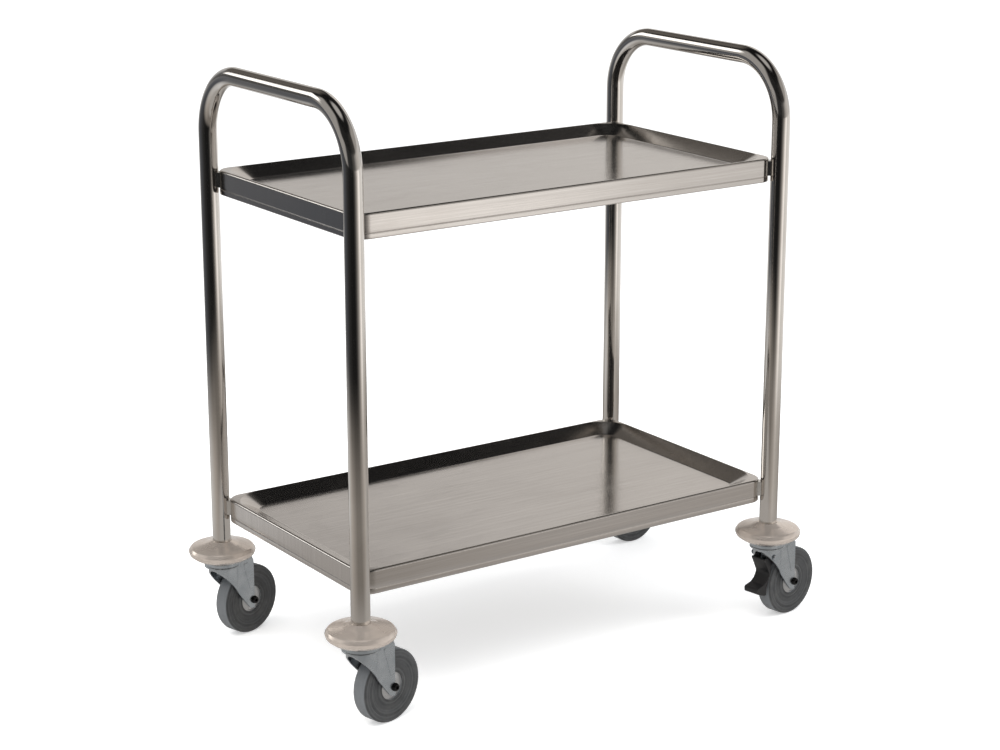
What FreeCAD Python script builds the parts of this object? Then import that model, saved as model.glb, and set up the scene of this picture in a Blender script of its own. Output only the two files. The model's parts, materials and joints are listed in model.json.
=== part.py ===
import FreeCAD, Part
import math
import os

import Sketcher
from FreeCAD import Placement, Rotation, Vector

# Two-tier instrument cart: two hoop frames carry two trays on four swivel casters.
# Own frame: X along the long side (right is +X), Y from the front long side to the
# rear one, +Z up, origin on the floor midway between the four legs. Millimetres.

doc = FreeCAD.newDocument("instrument_cart")

# ---------------------------------------------------------------- driving dimensions
# alias, value, meaning
DIMENSIONS = [
    ("legspan", 684.6, "leg axis to leg axis, long side"),
    ("legdepth", 376.0, "leg axis to leg axis, short side"),
    ("hoopheight", 825.0, "top of the hoop above the floor"),
    ("tubeod", 25.4, "hoop tube outside diameter"),
    ("tubewall", 1.2, "hoop tube wall"),
    ("bendradius", 84.0, "hoop bend, centreline radius"),
    ("legfoot", 126.0, "lower end of the leg tubes"),
    ("upperrim", 678.7, "upper tray rim"),
    ("lowerrim", 213.4, "lower tray rim"),
    ("skirtinset", 4.1, "skirt face inside the leg axis plane"),
    ("skirtdrop", 33.0, "skirt height"),
    ("skirtcorner", 23.0, "skirt plan corner radius"),
    ("trayskin", 1.2, "tray sheet thickness"),
    ("hemband", 8.0, "height of the folded hem"),
    ("hemskin", 2.4, "thickness at the folded hem"),
    ("welldepth", 13.6, "tray floor below the rim"),
    ("liptop", 4.0, "flat lip width along the sides"),
    ("wellinset", 29.5, "skirt face to the edge of the tray floor"),
    ("wellcentre", 51.0, "inset of the well corner centres"),
    ("boltdrop", 14.25, "corner bolt below the rim"),
    ("cornerheight", 20.5, "height of gussets and saddles"),
    ("wheeldia", 100.0, "caster wheel diameter"),
    ("tyrewidth", 24.0, "tyre width"),
    ("hublength", 25.6, "hub length over its faces"),
    ("trail", 44.0, "wheel axis behind the swivel axis"),
    ("forkgap", 27.0, "inside width between the fork cheeks"),
    ("forkskin", 2.5, "fork sheet thickness"),
    ("crowntop", 114.0, "top of the fork crown plate"),
    ("crowndia", 51.0, "crown diameter"),
    ("kingdia", 10.0, "kingpin diameter"),
    ("axledia", 8.0, "wheel axle diameter"),
    ("runfit", 0.05, "radial running clearance"),
    ("ballrad", 2.5, "swivel ball radius"),
    ("ballpitch", 15.5, "swivel ball pitch radius"),
    ("ballcount", 14.0, "balls in each swivel"),
    ("bumperdia", 95.2, "bumper diameter"),
    ("swivelfl", 13.0, "rest heading of the front left caster, degrees"),
    ("swivelfr", 9.0, "rest heading of the front right caster, degrees"),
    ("swivelrl", 16.0, "rest heading of the rear left caster, degrees"),
    ("swivelrr", 4.0, "rest heading of the rear right caster, degrees"),
    ("brakex", -6.0, "brake pivot from the swivel axis, along the trail"),
    ("brakez", 99.5, "brake pivot height"),
    ("brakepress", 6.5, "brake lever stroke, degrees"),
]
sheet = doc.addObject("Spreadsheet::Sheet", "Dimensions")
DIM = {}
for row, (alias, value, meaning) in enumerate(DIMENSIONS, start=1):
    sheet.set("A%d" % row, meaning)
    sheet.set("B%d" % row, repr(value))
    sheet.setAlias("B%d" % row, alias)
    DIM[alias] = value
doc.recompute()

# Places and sizes shared by several pieces
LEG_X, LEG_Y = DIM["legspan"] / 2, DIM["legdepth"] / 2
SKIRT_X = LEG_X - DIM["skirtinset"]
SKIRT_Y = LEG_Y - DIM["skirtinset"]
CORNER_X = SKIRT_X - DIM["skirtcorner"]  # centre of the skirt's corner arc
CORNER_Y = SKIRT_Y - DIM["skirtcorner"]
TUBE_RADIUS = DIM["tubeod"] / 2
TUBE_BORE = TUBE_RADIUS - DIM["tubewall"]
BOLT_RADIUS = 3.0
INSERT_RADIUS = 4.5
BORE_START = 9.0  # in x and in y, from the corner centre to the start of a bolt bore
TIERS = (("upper", "upperrim"), ("lower", "lowerrim"))
# name, side in x, side in y, heading alias, braked
CORNERS = (
    ("front_left", -1, -1, "swivelfl", False),
    ("front_right", 1, -1, "swivelfr", True),
    ("rear_left", -1, 1, "swivelrl", False),
    ("rear_right", 1, 1, "swivelrr", True),
)

nodes = {}


# ---------------------------------------------------------------- sketches
def origin_item(body, role):
    for item in body.Origin.OriginFeatures:
        if item.Role == role:
            return item
    raise RuntimeError("no origin item " + role)


def new_body(name):
    return doc.addObject("PartDesign::Body", name)


def new_sketch(body, name, plane, offset=0.0, expression=None):
    sketch = body.newObject("Sketcher::SketchObject", name)
    sketch.AttachmentSupport = [(origin_item(body, plane), "")]
    sketch.MapMode = "FlatFace"
    sketch.AttachmentOffset = Placement(Vector(0, 0, offset), Rotation())
    if expression:
        sketch.setExpression("AttachmentOffset.Base.z", expression)
    return sketch


def constrain(sketch, *terms, expression=None):
    index = sketch.addConstraint(Sketcher.Constraint(*terms))
    if expression:
        sketch.setExpression("Constraints[%d]" % index, expression)


def polyline(points):
    """Line segments from each point to the next, left open."""
    ends = [Vector(x, y, 0) for x, y in points]
    return [Part.LineSegment(a, b) for a, b in zip(ends, ends[1:])]


def arc_about(x, y, radius, start, end):
    ring = Part.Circle(Vector(x, y, 0), Vector(0, 0, 1), radius)
    return Part.ArcOfCircle(ring, start, end)


def arc_through(*points):
    return Part.Arc(*[Vector(x, y, 0) for x, y in points])


def rounded_outline(points):
    """Turns (x, y[, radius]) corners into line and arc pieces, in order and closed."""
    count = len(points)
    corners = []  # start, middle of the arc or None, end
    for i, point in enumerate(points):
        radius = point[2] if len(point) > 2 else 0.0
        here = Vector(point[0], point[1], 0)
        if radius <= 0:
            corners.append((here, None, here))
            continue
        before = Vector(points[i - 1][0], points[i - 1][1], 0)
        after = Vector(points[(i + 1) % count][0], points[(i + 1) % count][1], 0)
        back = (before - here).normalize()
        ahead = (after - here).normalize()
        half = math.acos(max(-1.0, min(1.0, back.dot(ahead)))) / 2.0
        reach = radius / math.tan(half)
        centre = here + (back + ahead).normalize() * (radius / math.sin(half))
        middle = centre + (here - centre).normalize() * radius
        corners.append((here + back * reach, middle, here + ahead * reach))
    pieces = []
    for i, (start, middle, end) in enumerate(corners):
        if middle:
            pieces.append(Part.Arc(start, middle, end))
        following = corners[(i + 1) % count][0]
        if end.distanceToPoint(following) > 1e-6:
            pieces.append(Part.LineSegment(end, following))
    return pieces


def matching_ends(sketch, first, second):
    """The end numbers at which two pieces meet; a sketch may store an arc reversed."""
    for end in (2, 1):
        for start in (1, 2):
            gap = sketch.getPoint(first, end).distanceToPoint(sketch.getPoint(second, start))
            if gap < 1e-5:
                return end, start
    raise RuntimeError("open outline in " + sketch.Name)


def draw_pieces(sketch, pieces):
    """Adds a closed run of pieces and joins each to the next."""
    ids = sketch.addGeometry(pieces, False)
    for i, first in enumerate(ids):
        second = ids[(i + 1) % len(ids)]
        end, start = matching_ends(sketch, first, second)
        constrain(sketch, "Coincident", first, end, second, start)


def draw(sketch, points):
    draw_pieces(sketch, rounded_outline(points))


def circle(sketch, x, y, radius, expression=None):
    ring = sketch.addGeometry(Part.Circle(Vector(x, y, 0), Vector(0, 0, 1), radius), False)
    constrain(sketch, "Radius", ring, radius, expression=expression)
    constrain(sketch, "DistanceX", -1, 1, ring, 3, x)
    constrain(sketch, "DistanceY", -1, 1, ring, 3, y)


def hexagon(sketch, across_flats):
    radius = across_flats / math.sqrt(3.0)
    angles = [math.radians(60 * i) for i in range(6)]
    draw(sketch, [(radius * math.cos(a), radius * math.sin(a)) for a in angles])


# ---------------------------------------------------------------- body features
def add_feature(body, kind, name, **properties):
    item = body.newObject("PartDesign::" + kind, name)
    for key, value in properties.items():
        setattr(item, key, value)
    body.Tip = item
    return item


def subtract(body, kind, name, **properties):
    """Adds a feature that has to take material away."""
    doc.recompute()
    before = body.Shape.Volume
    add_feature(body, kind, name, **properties)
    doc.recompute()
    if body.Shape.Volume > before - 1e-3:
        raise RuntimeError(name + " removed nothing")


def pad(body, sketch, length, expression=None, reverse=False, midplane=False):
    item = add_feature(
        body, "Pad", sketch.Name + "_pad",
        Profile=sketch, Length=length, Reversed=reverse, Midplane=midplane,
    )
    if expression:
        item.setExpression("Length", expression)
    return item


def pocket(body, sketch, length, midplane=False):
    subtract(
        body, "Pocket", sketch.Name + "_pocket",
        Profile=sketch, Length=length, Reversed=False, Midplane=midplane,
    )


def revolve(body, sketch, axis="V_Axis"):
    add_feature(
        body, "Revolution", sketch.Name + "_turn",
        Profile=sketch, ReferenceAxis=(sketch, [axis]), Angle=360,
    )


def groove(body, sketch):
    subtract(
        body, "Groove", sketch.Name + "_groove",
        Profile=sketch, ReferenceAxis=(sketch, ["V_Axis"]), Angle=360,
    )


def hollow_loft(body, name, top, floor):
    subtract(body, "SubtractiveLoft", name, Profile=top, Sections=[floor], Ruled=True)


def fillet(body, radius, pick, name):
    """Rounds the edges of the tip that the test picks."""
    doc.recompute()
    base = body.Tip
    edges = ["Edge%d" % (i + 1) for i, e in enumerate(base.Shape.Edges) if pick(e)]
    if not edges:
        raise RuntimeError("no edge picked for " + name)
    item = add_feature(body, "Fillet", name, Base=(base, edges), Radius=radius)
    doc.recompute()
    if "Invalid" in item.State or "Error" in item.State:
        raise RuntimeError("fillet failed: " + name)


def at_level(edge, z):
    box = edge.BoundBox
    return abs(box.ZMin - z) < 1e-3 and abs(box.ZMax - z) < 1e-3


# Sketch plane and sketch axis for turning about each axis of a body. Outline points are
# (radius, z) about Z, and (distance along the axis, radius) about X and Y.
ABOUT_Z = ("XZ_Plane", "V_Axis")
ABOUT_X = ("XY_Plane", "H_Axis")
ABOUT_Y = ("YZ_Plane", "H_Axis")


def turned(name, points, about=ABOUT_Z):
    plane, axis = about
    body = new_body(name)
    sketch = new_sketch(body, name + "_outline", plane)
    draw(sketch, points)
    revolve(body, sketch, axis)
    return body


# ---------------------------------------------------------------- placing and combining
def place(obj, base, angle=0.0, expressions=None):
    obj.Placement = Placement(base, Rotation(Vector(0, 0, 1), angle))
    for path, expression in (expressions or {}).items():
        obj.setExpression(path, expression)


def leg_expressions(side_x, side_y):
    """Expressions for the x and y of one leg axis."""
    return (
        ("-" if side_x < 0 else "") + "Dimensions.legspan / 2",
        ("-" if side_y < 0 else "") + "Dimensions.legdepth / 2",
    )


def cylinder(name, radius, height, base, along=Vector(0, 0, 1), level=None):
    item = doc.addObject("Part::Cylinder", name)
    item.Radius = radius
    item.Height = height
    item.Placement = Placement(base, Rotation(Vector(0, 0, 1), along))
    if level:
        item.setExpression("Placement.Base.z", level)
    return item


def fuse(name, shapes):
    item = doc.addObject("Part::MultiFuse", name)
    item.Shapes = shapes
    return item


def cut(name, base, tool):
    item = doc.addObject("Part::Cut", name)
    item.Base = base
    item.Tool = tool
    return item


def keep(label, obj):
    """Labels a finished piece and lists it for export."""
    obj.Label = label
    nodes[label] = obj


def group(label, members):
    compound = doc.addObject("Part::Compound", label)
    compound.Links = members
    keep(label, compound)


def mirror(obj, normal):
    item = doc.addObject("Part::Mirroring", obj.Name + "_m")
    item.Source = obj
    item.Base = Vector(0, 0, 0)
    item.Normal = normal
    return item


def four_corners(obj):
    across = mirror(obj, Vector(1, 0, 0))
    front = mirror(obj, Vector(0, 1, 0))
    return [obj, across, front, mirror(across, Vector(0, 1, 0))]


# ---------------------------------------------------------------- hoop frames
def hoop_path(body, name):
    """Centreline from the foot of the front leg, over the top, to the rear foot."""
    span, bend = DIM["legdepth"], DIM["bendradius"]
    rise = DIM["hoopheight"] - TUBE_RADIUS - bend - DIM["legfoot"]
    path = new_sketch(body, name, "YZ_Plane")
    front, front_bend, top, rear_bend, rear = path.addGeometry(
        polyline([(0, 0), (0, rise)])
        + [arc_about(bend, rise, bend, math.pi / 2, math.pi)]
        + polyline([(bend, rise + bend), (span - bend, rise + bend)])
        + [arc_about(span - bend, rise, bend, 0, math.pi / 2)]
        + polyline([(span, rise), (span, 0)]),
        False,
    )
    constrain(path, "Coincident", -1, 1, front, 1)
    constrain(path, "Tangent", front, 2, front_bend, 2)
    constrain(path, "Tangent", front_bend, 1, top, 1)
    constrain(path, "Tangent", top, 2, rear_bend, 2)
    constrain(path, "Tangent", rear_bend, 1, rear, 1)
    constrain(path, "Vertical", front)
    constrain(path, "Horizontal", top)
    constrain(path, "Vertical", rear)
    constrain(path, "DistanceX", -1, 1, rear, 2, span, expression="Dimensions.legdepth")
    constrain(path, "DistanceY", -1, 1, rear, 2, 0)
    constrain(path, "Radius", front_bend, bend, expression="Dimensions.bendradius")
    constrain(path, "Equal", front_bend, rear_bend)
    constrain(
        path, "DistanceY", -1, 1, top, 1, rise + bend,
        expression="Dimensions.hoopheight - Dimensions.tubeod / 2 - Dimensions.legfoot",
    )
    return path


def hoop(label, side):
    body = new_body(label + "_tube")
    path = hoop_path(body, label + "_path")
    ring = new_sketch(body, label + "_section", "XY_Plane")
    circle(ring, 0, 0, TUBE_RADIUS, "Dimensions.tubeod / 2")
    circle(ring, 0, 0, TUBE_BORE, "Dimensions.tubeod / 2 - Dimensions.tubewall")
    doc.recompute()
    add_feature(body, "AdditivePipe", label + "_pipe", Profile=ring, Spine=path)
    x_text, y_text = leg_expressions(side, -1)
    place(body, Vector(side * LEG_X, -LEG_Y, DIM["legfoot"]), 0, {
        "Placement.Base.x": x_text,
        "Placement.Base.y": y_text,
        "Placement.Base.z": "Dimensions.legfoot",
    })
    # holes for the thread inserts, drilled from the leg axis towards the tray corner
    drills = []
    for y in (-1, 1):
        for _, rim in TIERS:
            base = Vector(side * LEG_X, y * LEG_Y, DIM[rim] - DIM["boltdrop"])
            level = "Dimensions.%s - Dimensions.boltdrop" % rim
            drills.append(cylinder(
                label + "_drill", INSERT_RADIUS, 16.0, base, Vector(-side, -y, 0), level
            ))
    keep(label, cut(label, body, fuse(label + "_drills", drills)))


hoop("left_hoop_frame", -1)
hoop("right_hoop_frame", 1)

# ---------------------------------------------------------------- trays
FOLD_RADIUS = 3.0  # outside of the bends at the skirt and at the lip
INSIDE_FOLD_RADIUS = 1.8
FLOOR_BEND_RADIUS = 7.0
CREASE_DEPTH = 0.35  # crease around the skirt, just under the top of the hem
CREASE_HEIGHT = 0.9


def inset_sketch(body, name, level, inset, centres, expression=None):
    """Rounded rectangle inside the skirt face; centres is the inset of its arc centres."""
    x, y, radius = SKIRT_X - inset, SKIRT_Y - inset, centres - inset
    sketch = new_sketch(body, name, "XY_Plane", level, expression)
    add_inset_box(sketch, x, y, radius)
    return sketch


def add_inset_box(sketch, x, y, radius):
    draw(sketch, [(-x, -y, radius), (x, -y, radius), (x, y, radius), (-x, y, radius)])


def at_lip(edge):
    """Edges at rim level around the well, not those around the skirt."""
    if not at_level(edge, 0):
        return False
    if hasattr(edge.Curve, "Radius"):
        return edge.Curve.Radius > 30.0
    p = edge.valueAt((edge.FirstParameter + edge.LastParameter) / 2)
    return min(SKIRT_X - abs(p.x), SKIRT_Y - abs(p.y)) > 3.5


def tray_form(label):
    """Outside of the tray as a solid block with the sloped well sunk into it."""
    drop, depth, corner = DIM["skirtdrop"], DIM["welldepth"], DIM["skirtcorner"]
    form = new_body(label + "_form")
    plan = inset_sketch(form, label + "_plan", 0.0, 0.0, corner)
    pad(form, plan, drop, "Dimensions.skirtdrop", reverse=True)
    fillet(form, FOLD_RADIUS, lambda e: at_level(e, 0), label + "_fold")
    top = inset_sketch(form, label + "_well_top", 0.0, DIM["liptop"], DIM["wellcentre"])
    floor = inset_sketch(
        form, label + "_well_floor", -depth, DIM["wellinset"], DIM["wellcentre"],
        "-Dimensions.welldepth",
    )
    hollow_loft(form, label + "_well", top, floor)
    fillet(form, FLOOR_BEND_RADIUS, lambda e: at_level(e, -depth), label + "_floor_bend")
    fillet(form, FOLD_RADIUS, at_lip, label + "_lip_bend")
    clear = 5.0  # outer edge of the crease tool, outside the skirt
    crease = inset_sketch(
        form, label + "_crease_line", -(drop - DIM["hemband"]), -clear, corner,
        "-(Dimensions.skirtdrop - Dimensions.hemband)",
    )
    add_inset_box(
        crease, SKIRT_X - CREASE_DEPTH, SKIRT_Y - CREASE_DEPTH, corner - CREASE_DEPTH
    )
    pocket(form, crease, CREASE_HEIGHT)
    return form


def tray_underside(label):
    """The space under the sheet, which is cut out of the form."""
    skin, drop, corner = DIM["trayskin"], DIM["skirtdrop"], DIM["skirtcorner"]
    hem, band = DIM["hemskin"], DIM["hemband"]
    under = new_body(label + "_underside")
    below = 1.0  # the cut runs out below the skirt
    plan = inset_sketch(under, label + "_hem_plan", -drop - below, hem, corner)
    pad(under, plan, band + below)
    overlap = 0.01
    plan = inset_sketch(under, label + "_inside_plan", -drop + band - overlap, skin, corner)
    pad(under, plan, drop - band - skin + overlap)
    fillet(under, INSIDE_FOLD_RADIUS, lambda e: at_level(e, -skin), label + "_inside_fold")

    # leave the pan standing, one skin outside the slope and under the floor of the well
    depth, lip = DIM["welldepth"], DIM["liptop"]
    slope = math.atan2(depth, DIM["wellinset"] - lip)
    inset_top = lip - skin / math.sin(slope)
    inset_low = inset_top + (depth + skin) / math.tan(slope)
    centre = DIM["wellcentre"]
    top = inset_sketch(under, label + "_pan_top", 0.0, inset_top, centre)
    floor = inset_sketch(under, label + "_pan_floor", -(depth + skin), inset_low, centre)
    hollow_loft(under, label + "_pan", top, floor)
    return under


def tray(label, rim):
    form = tray_form(label)
    tools = [tray_underside(label)]
    for x in (-1, 1):
        for y in (-1, 1):
            base = Vector(
                x * (CORNER_X + BORE_START), y * (CORNER_Y + BORE_START), -DIM["boltdrop"]
            )
            tools.append(cylinder(
                label + "_bolt_hole", BOLT_RADIUS, 16.0, base, Vector(x, y, 0),
                "-Dimensions.boltdrop",
            ))
    sheet_metal = cut(label, form, fuse(label + "_hollow", tools))
    place(sheet_metal, Vector(0, 0, DIM[rim]), 0, {"Placement.Base.z": "Dimensions." + rim})
    keep(label, sheet_metal)


tray("upper_tray", "upperrim")
tray("lower_tray", "lowerrim")

# ---------------------------------------------------------------- tray corner fixings
# All are built at the rear right corner and mirrored to the other three.
GUSSET_SKIN = 2.0
GUSSET_ARM = 15.0  # straight part beyond the corner arc
SADDLE_START = 19.5  # along the corner diagonal, from the corner centre
SADDLE_LENGTH = 10.0
SADDLE_WIDTH = 13.0
CORNER_DIAGONAL = Vector(1, 1, 0)
QUARTER = math.pi / 2

# group label, piece name, outline as (distance from the corner centre along the
# diagonal, radius[, rounding])
FIXINGS = (
    ("tray_bolts", "_tray_bolt", [
        (13.4, 0), (13.4, 4.2, 1.4), (17.4, 5.2), (17.4, BOLT_RADIUS),
        (36.0, BOLT_RADIUS), (36.6, 2.4), (36.6, 0),
    ]),
    ("tray_bolt_washers", "_tray_washer", [
        (17.4, BOLT_RADIUS), (17.4, 6.0), (18.6, 6.0), (18.6, BOLT_RADIUS),
    ]),
    ("tube_thread_inserts", "_tube_insert", [
        (26.6, BOLT_RADIUS), (26.6, INSERT_RADIUS), (37.2, INSERT_RADIUS),
        (37.2, BOLT_RADIUS),
    ]),
)


def bolt_level(rim):
    """Height of a tier's bolts, as a value and as an expression."""
    return DIM[rim] - DIM["boltdrop"], "Dimensions.%s - Dimensions.boltdrop" % rim


def gussets(tier, rim):
    """Bent strips against the inside of the skirt corners."""
    z, level = bolt_level(rim)
    gusset = new_body(tier + "_gusset_one")
    height = DIM["cornerheight"]
    plan = new_sketch(gusset, tier + "_gusset_plan", "XY_Plane", -height / 2)
    outer = DIM["skirtcorner"] - DIM["trayskin"]
    inner = outer - GUSSET_SKIN
    arm = -GUSSET_ARM
    plan.addGeometry(
        polyline([(arm, outer), (0, outer)])
        + [arc_about(0, 0, outer, 0, QUARTER)]
        + polyline([(outer, 0), (outer, arm), (inner, arm), (inner, 0)])
        + [arc_about(0, 0, inner, 0, QUARTER)]
        + polyline([(0, inner), (arm, inner), (arm, outer)]),
        False,
    )
    pad(gusset, plan, height, "Dimensions.cornerheight")
    place(gusset, Vector(CORNER_X, CORNER_Y, z), 0, {"Placement.Base.z": level})
    base = Vector(CORNER_X + BORE_START, CORNER_Y + BORE_START, z)
    bore = cylinder(tier + "_gusset_bore", BOLT_RADIUS, 14.0, base, CORNER_DIAGONAL, level)
    bored = cut(tier + "_gusset_bored", gusset, bore)
    group(tier + "_corner_gussets", four_corners(bored))


def saddles(tier, rim):
    """Blocks between skirt corner and leg, hollowed on both sides to fit them."""
    z = bolt_level(rim)[0]
    turn = Rotation(Vector(0, 0, 1), 45)
    block = doc.addObject("Part::Box", tier + "_saddle_block")
    block.Length = SADDLE_LENGTH
    block.Width = SADDLE_WIDTH
    block.Height = DIM["cornerheight"]
    block.setExpression("Height", "Dimensions.cornerheight")
    base = Vector(CORNER_X, CORNER_Y, z - DIM["cornerheight"] / 2)
    shift = turn.multVec(Vector(SADDLE_START, -SADDLE_WIDTH / 2, 0))
    block.Placement = Placement(base + shift, turn)

    reach = 20  # length of the vertical tools above and below the bolt
    tube = cylinder(
        tier + "_saddle_tube", TUBE_RADIUS, 2 * reach, Vector(LEG_X, LEG_Y, z - reach)
    )
    tube.setExpression("Radius", "Dimensions.tubeod / 2")
    skirt = cylinder(
        tier + "_saddle_skirt", DIM["skirtcorner"], 2 * reach,
        Vector(CORNER_X, CORNER_Y, z - reach),
    )
    skirt.setExpression("Radius", "Dimensions.skirtcorner")
    hole = cylinder(
        tier + "_saddle_hole", BOLT_RADIUS, 20,
        Vector(CORNER_X, CORNER_Y, z) + turn.multVec(Vector(17, 0, 0)), CORNER_DIAGONAL,
    )
    tools = fuse(tier + "_saddle_tools", [tube, skirt, hole])
    saddle = cut(tier + "_saddle", block, tools)
    group(tier + "_saddle_spacers", four_corners(saddle))


def fixings(label, name, outline):
    """One kind of turned fixing, at all corners of both tiers."""
    members = []
    for tier, rim in TIERS:
        z, level = bolt_level(rim)
        piece = turned(tier + name, outline, ABOUT_X)
        place(piece, Vector(CORNER_X, CORNER_Y, z), 45, {"Placement.Base.z": level})
        members += four_corners(piece)
    group(label, members)


for tier, rim in TIERS:
    gussets(tier, rim)
    saddles(tier, rim)
for label, name, outline in FIXINGS:
    fixings(label, name, outline)

# ---------------------------------------------------------------- leg ends and kingpins
KING_RADIUS = DIM["kingdia"] / 2
FOOT = DIM["legfoot"]
CROWN = DIM["crowntop"]
KING_TOP = 160.0
KING_BOTTOM = CROWN - 16.5
KING_CHAMFER = 0.6
PLUG_HEIGHT = 35
CAP_TOP = 122.0  # swivel cap below, bumper above
BALL_Z = CROWN + 3.8
BALL_RADIUS, BALL_PITCH = DIM["ballrad"], DIM["ballpitch"]


def ball_track(body, name):
    sketch = new_sketch(body, name, "XZ_Plane")
    circle(
        sketch, BALL_PITCH, BALL_Z, BALL_RADIUS + DIM["runfit"],
        "Dimensions.ballrad + Dimensions.runfit",
    )
    groove(body, sketch)


def at_legs(label, body):
    body.Placement = Placement(Vector(LEG_X, LEG_Y, 0), Rotation())
    group(label, four_corners(body))


def kingpin_nut():
    nut = new_body("kingpin_nut_one")
    plan = new_sketch(nut, "kingpin_nut_plan", "XY_Plane", CROWN - 14.3)
    hexagon(plan, 17.0)
    circle(plan, 0, 0, KING_RADIUS, "Dimensions.kingdia / 2")
    pad(nut, plan, 8.0)
    return nut


def swivel_cap():
    """Inverted cup over the balls, with their upper track."""
    cap = turned("swivel_cap_one", [
        (KING_RADIUS, BALL_Z + 2.3),
        (KING_RADIUS, CAP_TOP),
        (25.5, CAP_TOP, 3.5),
        (25.5, CROWN + 0.7),
        (24.0, CROWN + 0.7),
        (24.0, BALL_Z + 2.3, 1.2),
    ])
    ball_track(cap, "swivel_cap_track")
    return cap


at_legs("leg_end_plugs", turned("leg_plug_one", [
    (KING_RADIUS, FOOT), (TUBE_BORE, FOOT),
    (TUBE_BORE, FOOT + PLUG_HEIGHT), (KING_RADIUS, FOOT + PLUG_HEIGHT),
]))
at_legs("caster_kingpins", turned("kingpin_one", [
    (0, KING_BOTTOM),
    (KING_RADIUS - KING_CHAMFER, KING_BOTTOM),
    (KING_RADIUS, KING_BOTTOM + KING_CHAMFER),
    (KING_RADIUS, KING_TOP - KING_CHAMFER),
    (KING_RADIUS - KING_CHAMFER, KING_TOP),
    (0, KING_TOP),
]))
at_legs("kingpin_lock_nuts", kingpin_nut())
at_legs("kingpin_thrust_washers", turned("kingpin_washer_one", [
    (KING_RADIUS, CROWN - 6.3), (9.4, CROWN - 6.3),
    (9.4, CROWN - 3.6), (KING_RADIUS, CROWN - 3.6),
]))
at_legs("swivel_bearing_caps", swivel_cap())

# ---------------------------------------------------------------- bumpers
# radius, height[, rounding]: a disc with a collar that meets the end of the leg tube
BUMPER_OUTLINE = [
    (KING_RADIUS, CAP_TOP),
    (31.0, CAP_TOP, 2.0),
    (38.5, 124.6, 5.0),
    (45.4, 129.6, 5.0),
    (DIM["bumperdia"] / 2, 135.2, 3.6),
    (43.6, 140.6, 5.0),
    (24.0, 145.0, 14.0),
    (14.2, 148.6),
    (TUBE_RADIUS, 148.6),
    (TUBE_RADIUS, FOOT),
    (KING_RADIUS, FOOT),
]


def bumper(label, side_x, side_y):
    body = turned(label, BUMPER_OUTLINE)
    x_text, y_text = leg_expressions(side_x, side_y)
    place(body, Vector(side_x * LEG_X, side_y * LEG_Y, 0), 0, {
        "Placement.Base.x": x_text,
        "Placement.Base.y": y_text,
    })
    keep(label, body)


for name, side_x, side_y, _, _ in CORNERS:
    bumper(name + "_bumper", side_x, side_y)

# ---------------------------------------------------------------- caster forks
# A caster's own frame: swivel axis on Z, wheel trailing towards +X, axle along Y.
WHEEL_RADIUS = DIM["wheeldia"] / 2
TRAIL = DIM["trail"]
CHEEK_IN = DIM["forkgap"] / 2
FORK_SKIN = DIM["forkskin"]
CHEEK_OUT = CHEEK_IN + FORK_SKIN
CROWN_UNDER = CROWN - FORK_SKIN
AXLE_RADIUS = DIM["axledia"] / 2
BRAKE_X, BRAKE_Z = DIM["brakex"], DIM["brakez"]
PIVOT_RADIUS = 2.5
THROUGH = 60.0  # length of cuts that pass through both cheeks

NOSE_RADIUS = 20.0  # plan radius of the round nose of the fork wall
KNEE_X = 14.0  # where the wall turns into the straight cheeks
FORK_REAR = 45.0
NOSE_LOW = 107.6  # lower edge of the nose
CHEEK_FRONT = (8.3, 75.5)  # bend in the front edge of the cheek, (x, z)
FRONT_SLOPE = 0.848  # run in x per unit of height along the upper front edge
AXLE_END_RADIUS = 12.5  # rounded end of the cheek around the axle


def tangent_point(x, z, centre_x, centre_z, radius, side):
    """Where a line from (x, z) touches the circle; side picks one of the two."""
    dx, dz = x - centre_x, z - centre_z
    swing = math.atan2(dz, dx) + math.acos(radius / math.hypot(dx, dz)) * side
    return centre_x + radius * math.cos(swing), centre_z + radius * math.sin(swing)


def wall_pieces():
    """Plan of the fork wall: a round nose that runs into two flat cheeks, open at +X."""
    inner_radius = NOSE_RADIUS - FORK_SKIN
    swing = math.atan2(CHEEK_OUT, KNEE_X)
    swing += math.acos(NOSE_RADIUS / math.hypot(KNEE_X, CHEEK_OUT))
    cosine, sine = math.cos(swing), math.sin(swing)
    outer_x, outer_y = NOSE_RADIUS * cosine, NOSE_RADIUS * sine
    inner_x, inner_y = inner_radius * cosine, inner_radius * sine
    knee = inner_x + (inner_y - CHEEK_IN) / cosine * sine
    return (
        polyline([(FORK_REAR, -CHEEK_OUT), (KNEE_X, -CHEEK_OUT), (outer_x, -outer_y)])
        + [arc_through((outer_x, -outer_y), (-NOSE_RADIUS, 0), (outer_x, outer_y))]
        + polyline([
            (outer_x, outer_y), (KNEE_X, CHEEK_OUT), (FORK_REAR, CHEEK_OUT),
            (FORK_REAR, CHEEK_IN), (knee, CHEEK_IN), (inner_x, inner_y),
        ])
        + [arc_through((inner_x, inner_y), (-inner_radius, 0), (inner_x, -inner_y))]
        + polyline([
            (inner_x, -inner_y), (knee, -CHEEK_IN), (FORK_REAR, -CHEEK_IN),
            (FORK_REAR, -CHEEK_OUT),
        ])
    )


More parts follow.
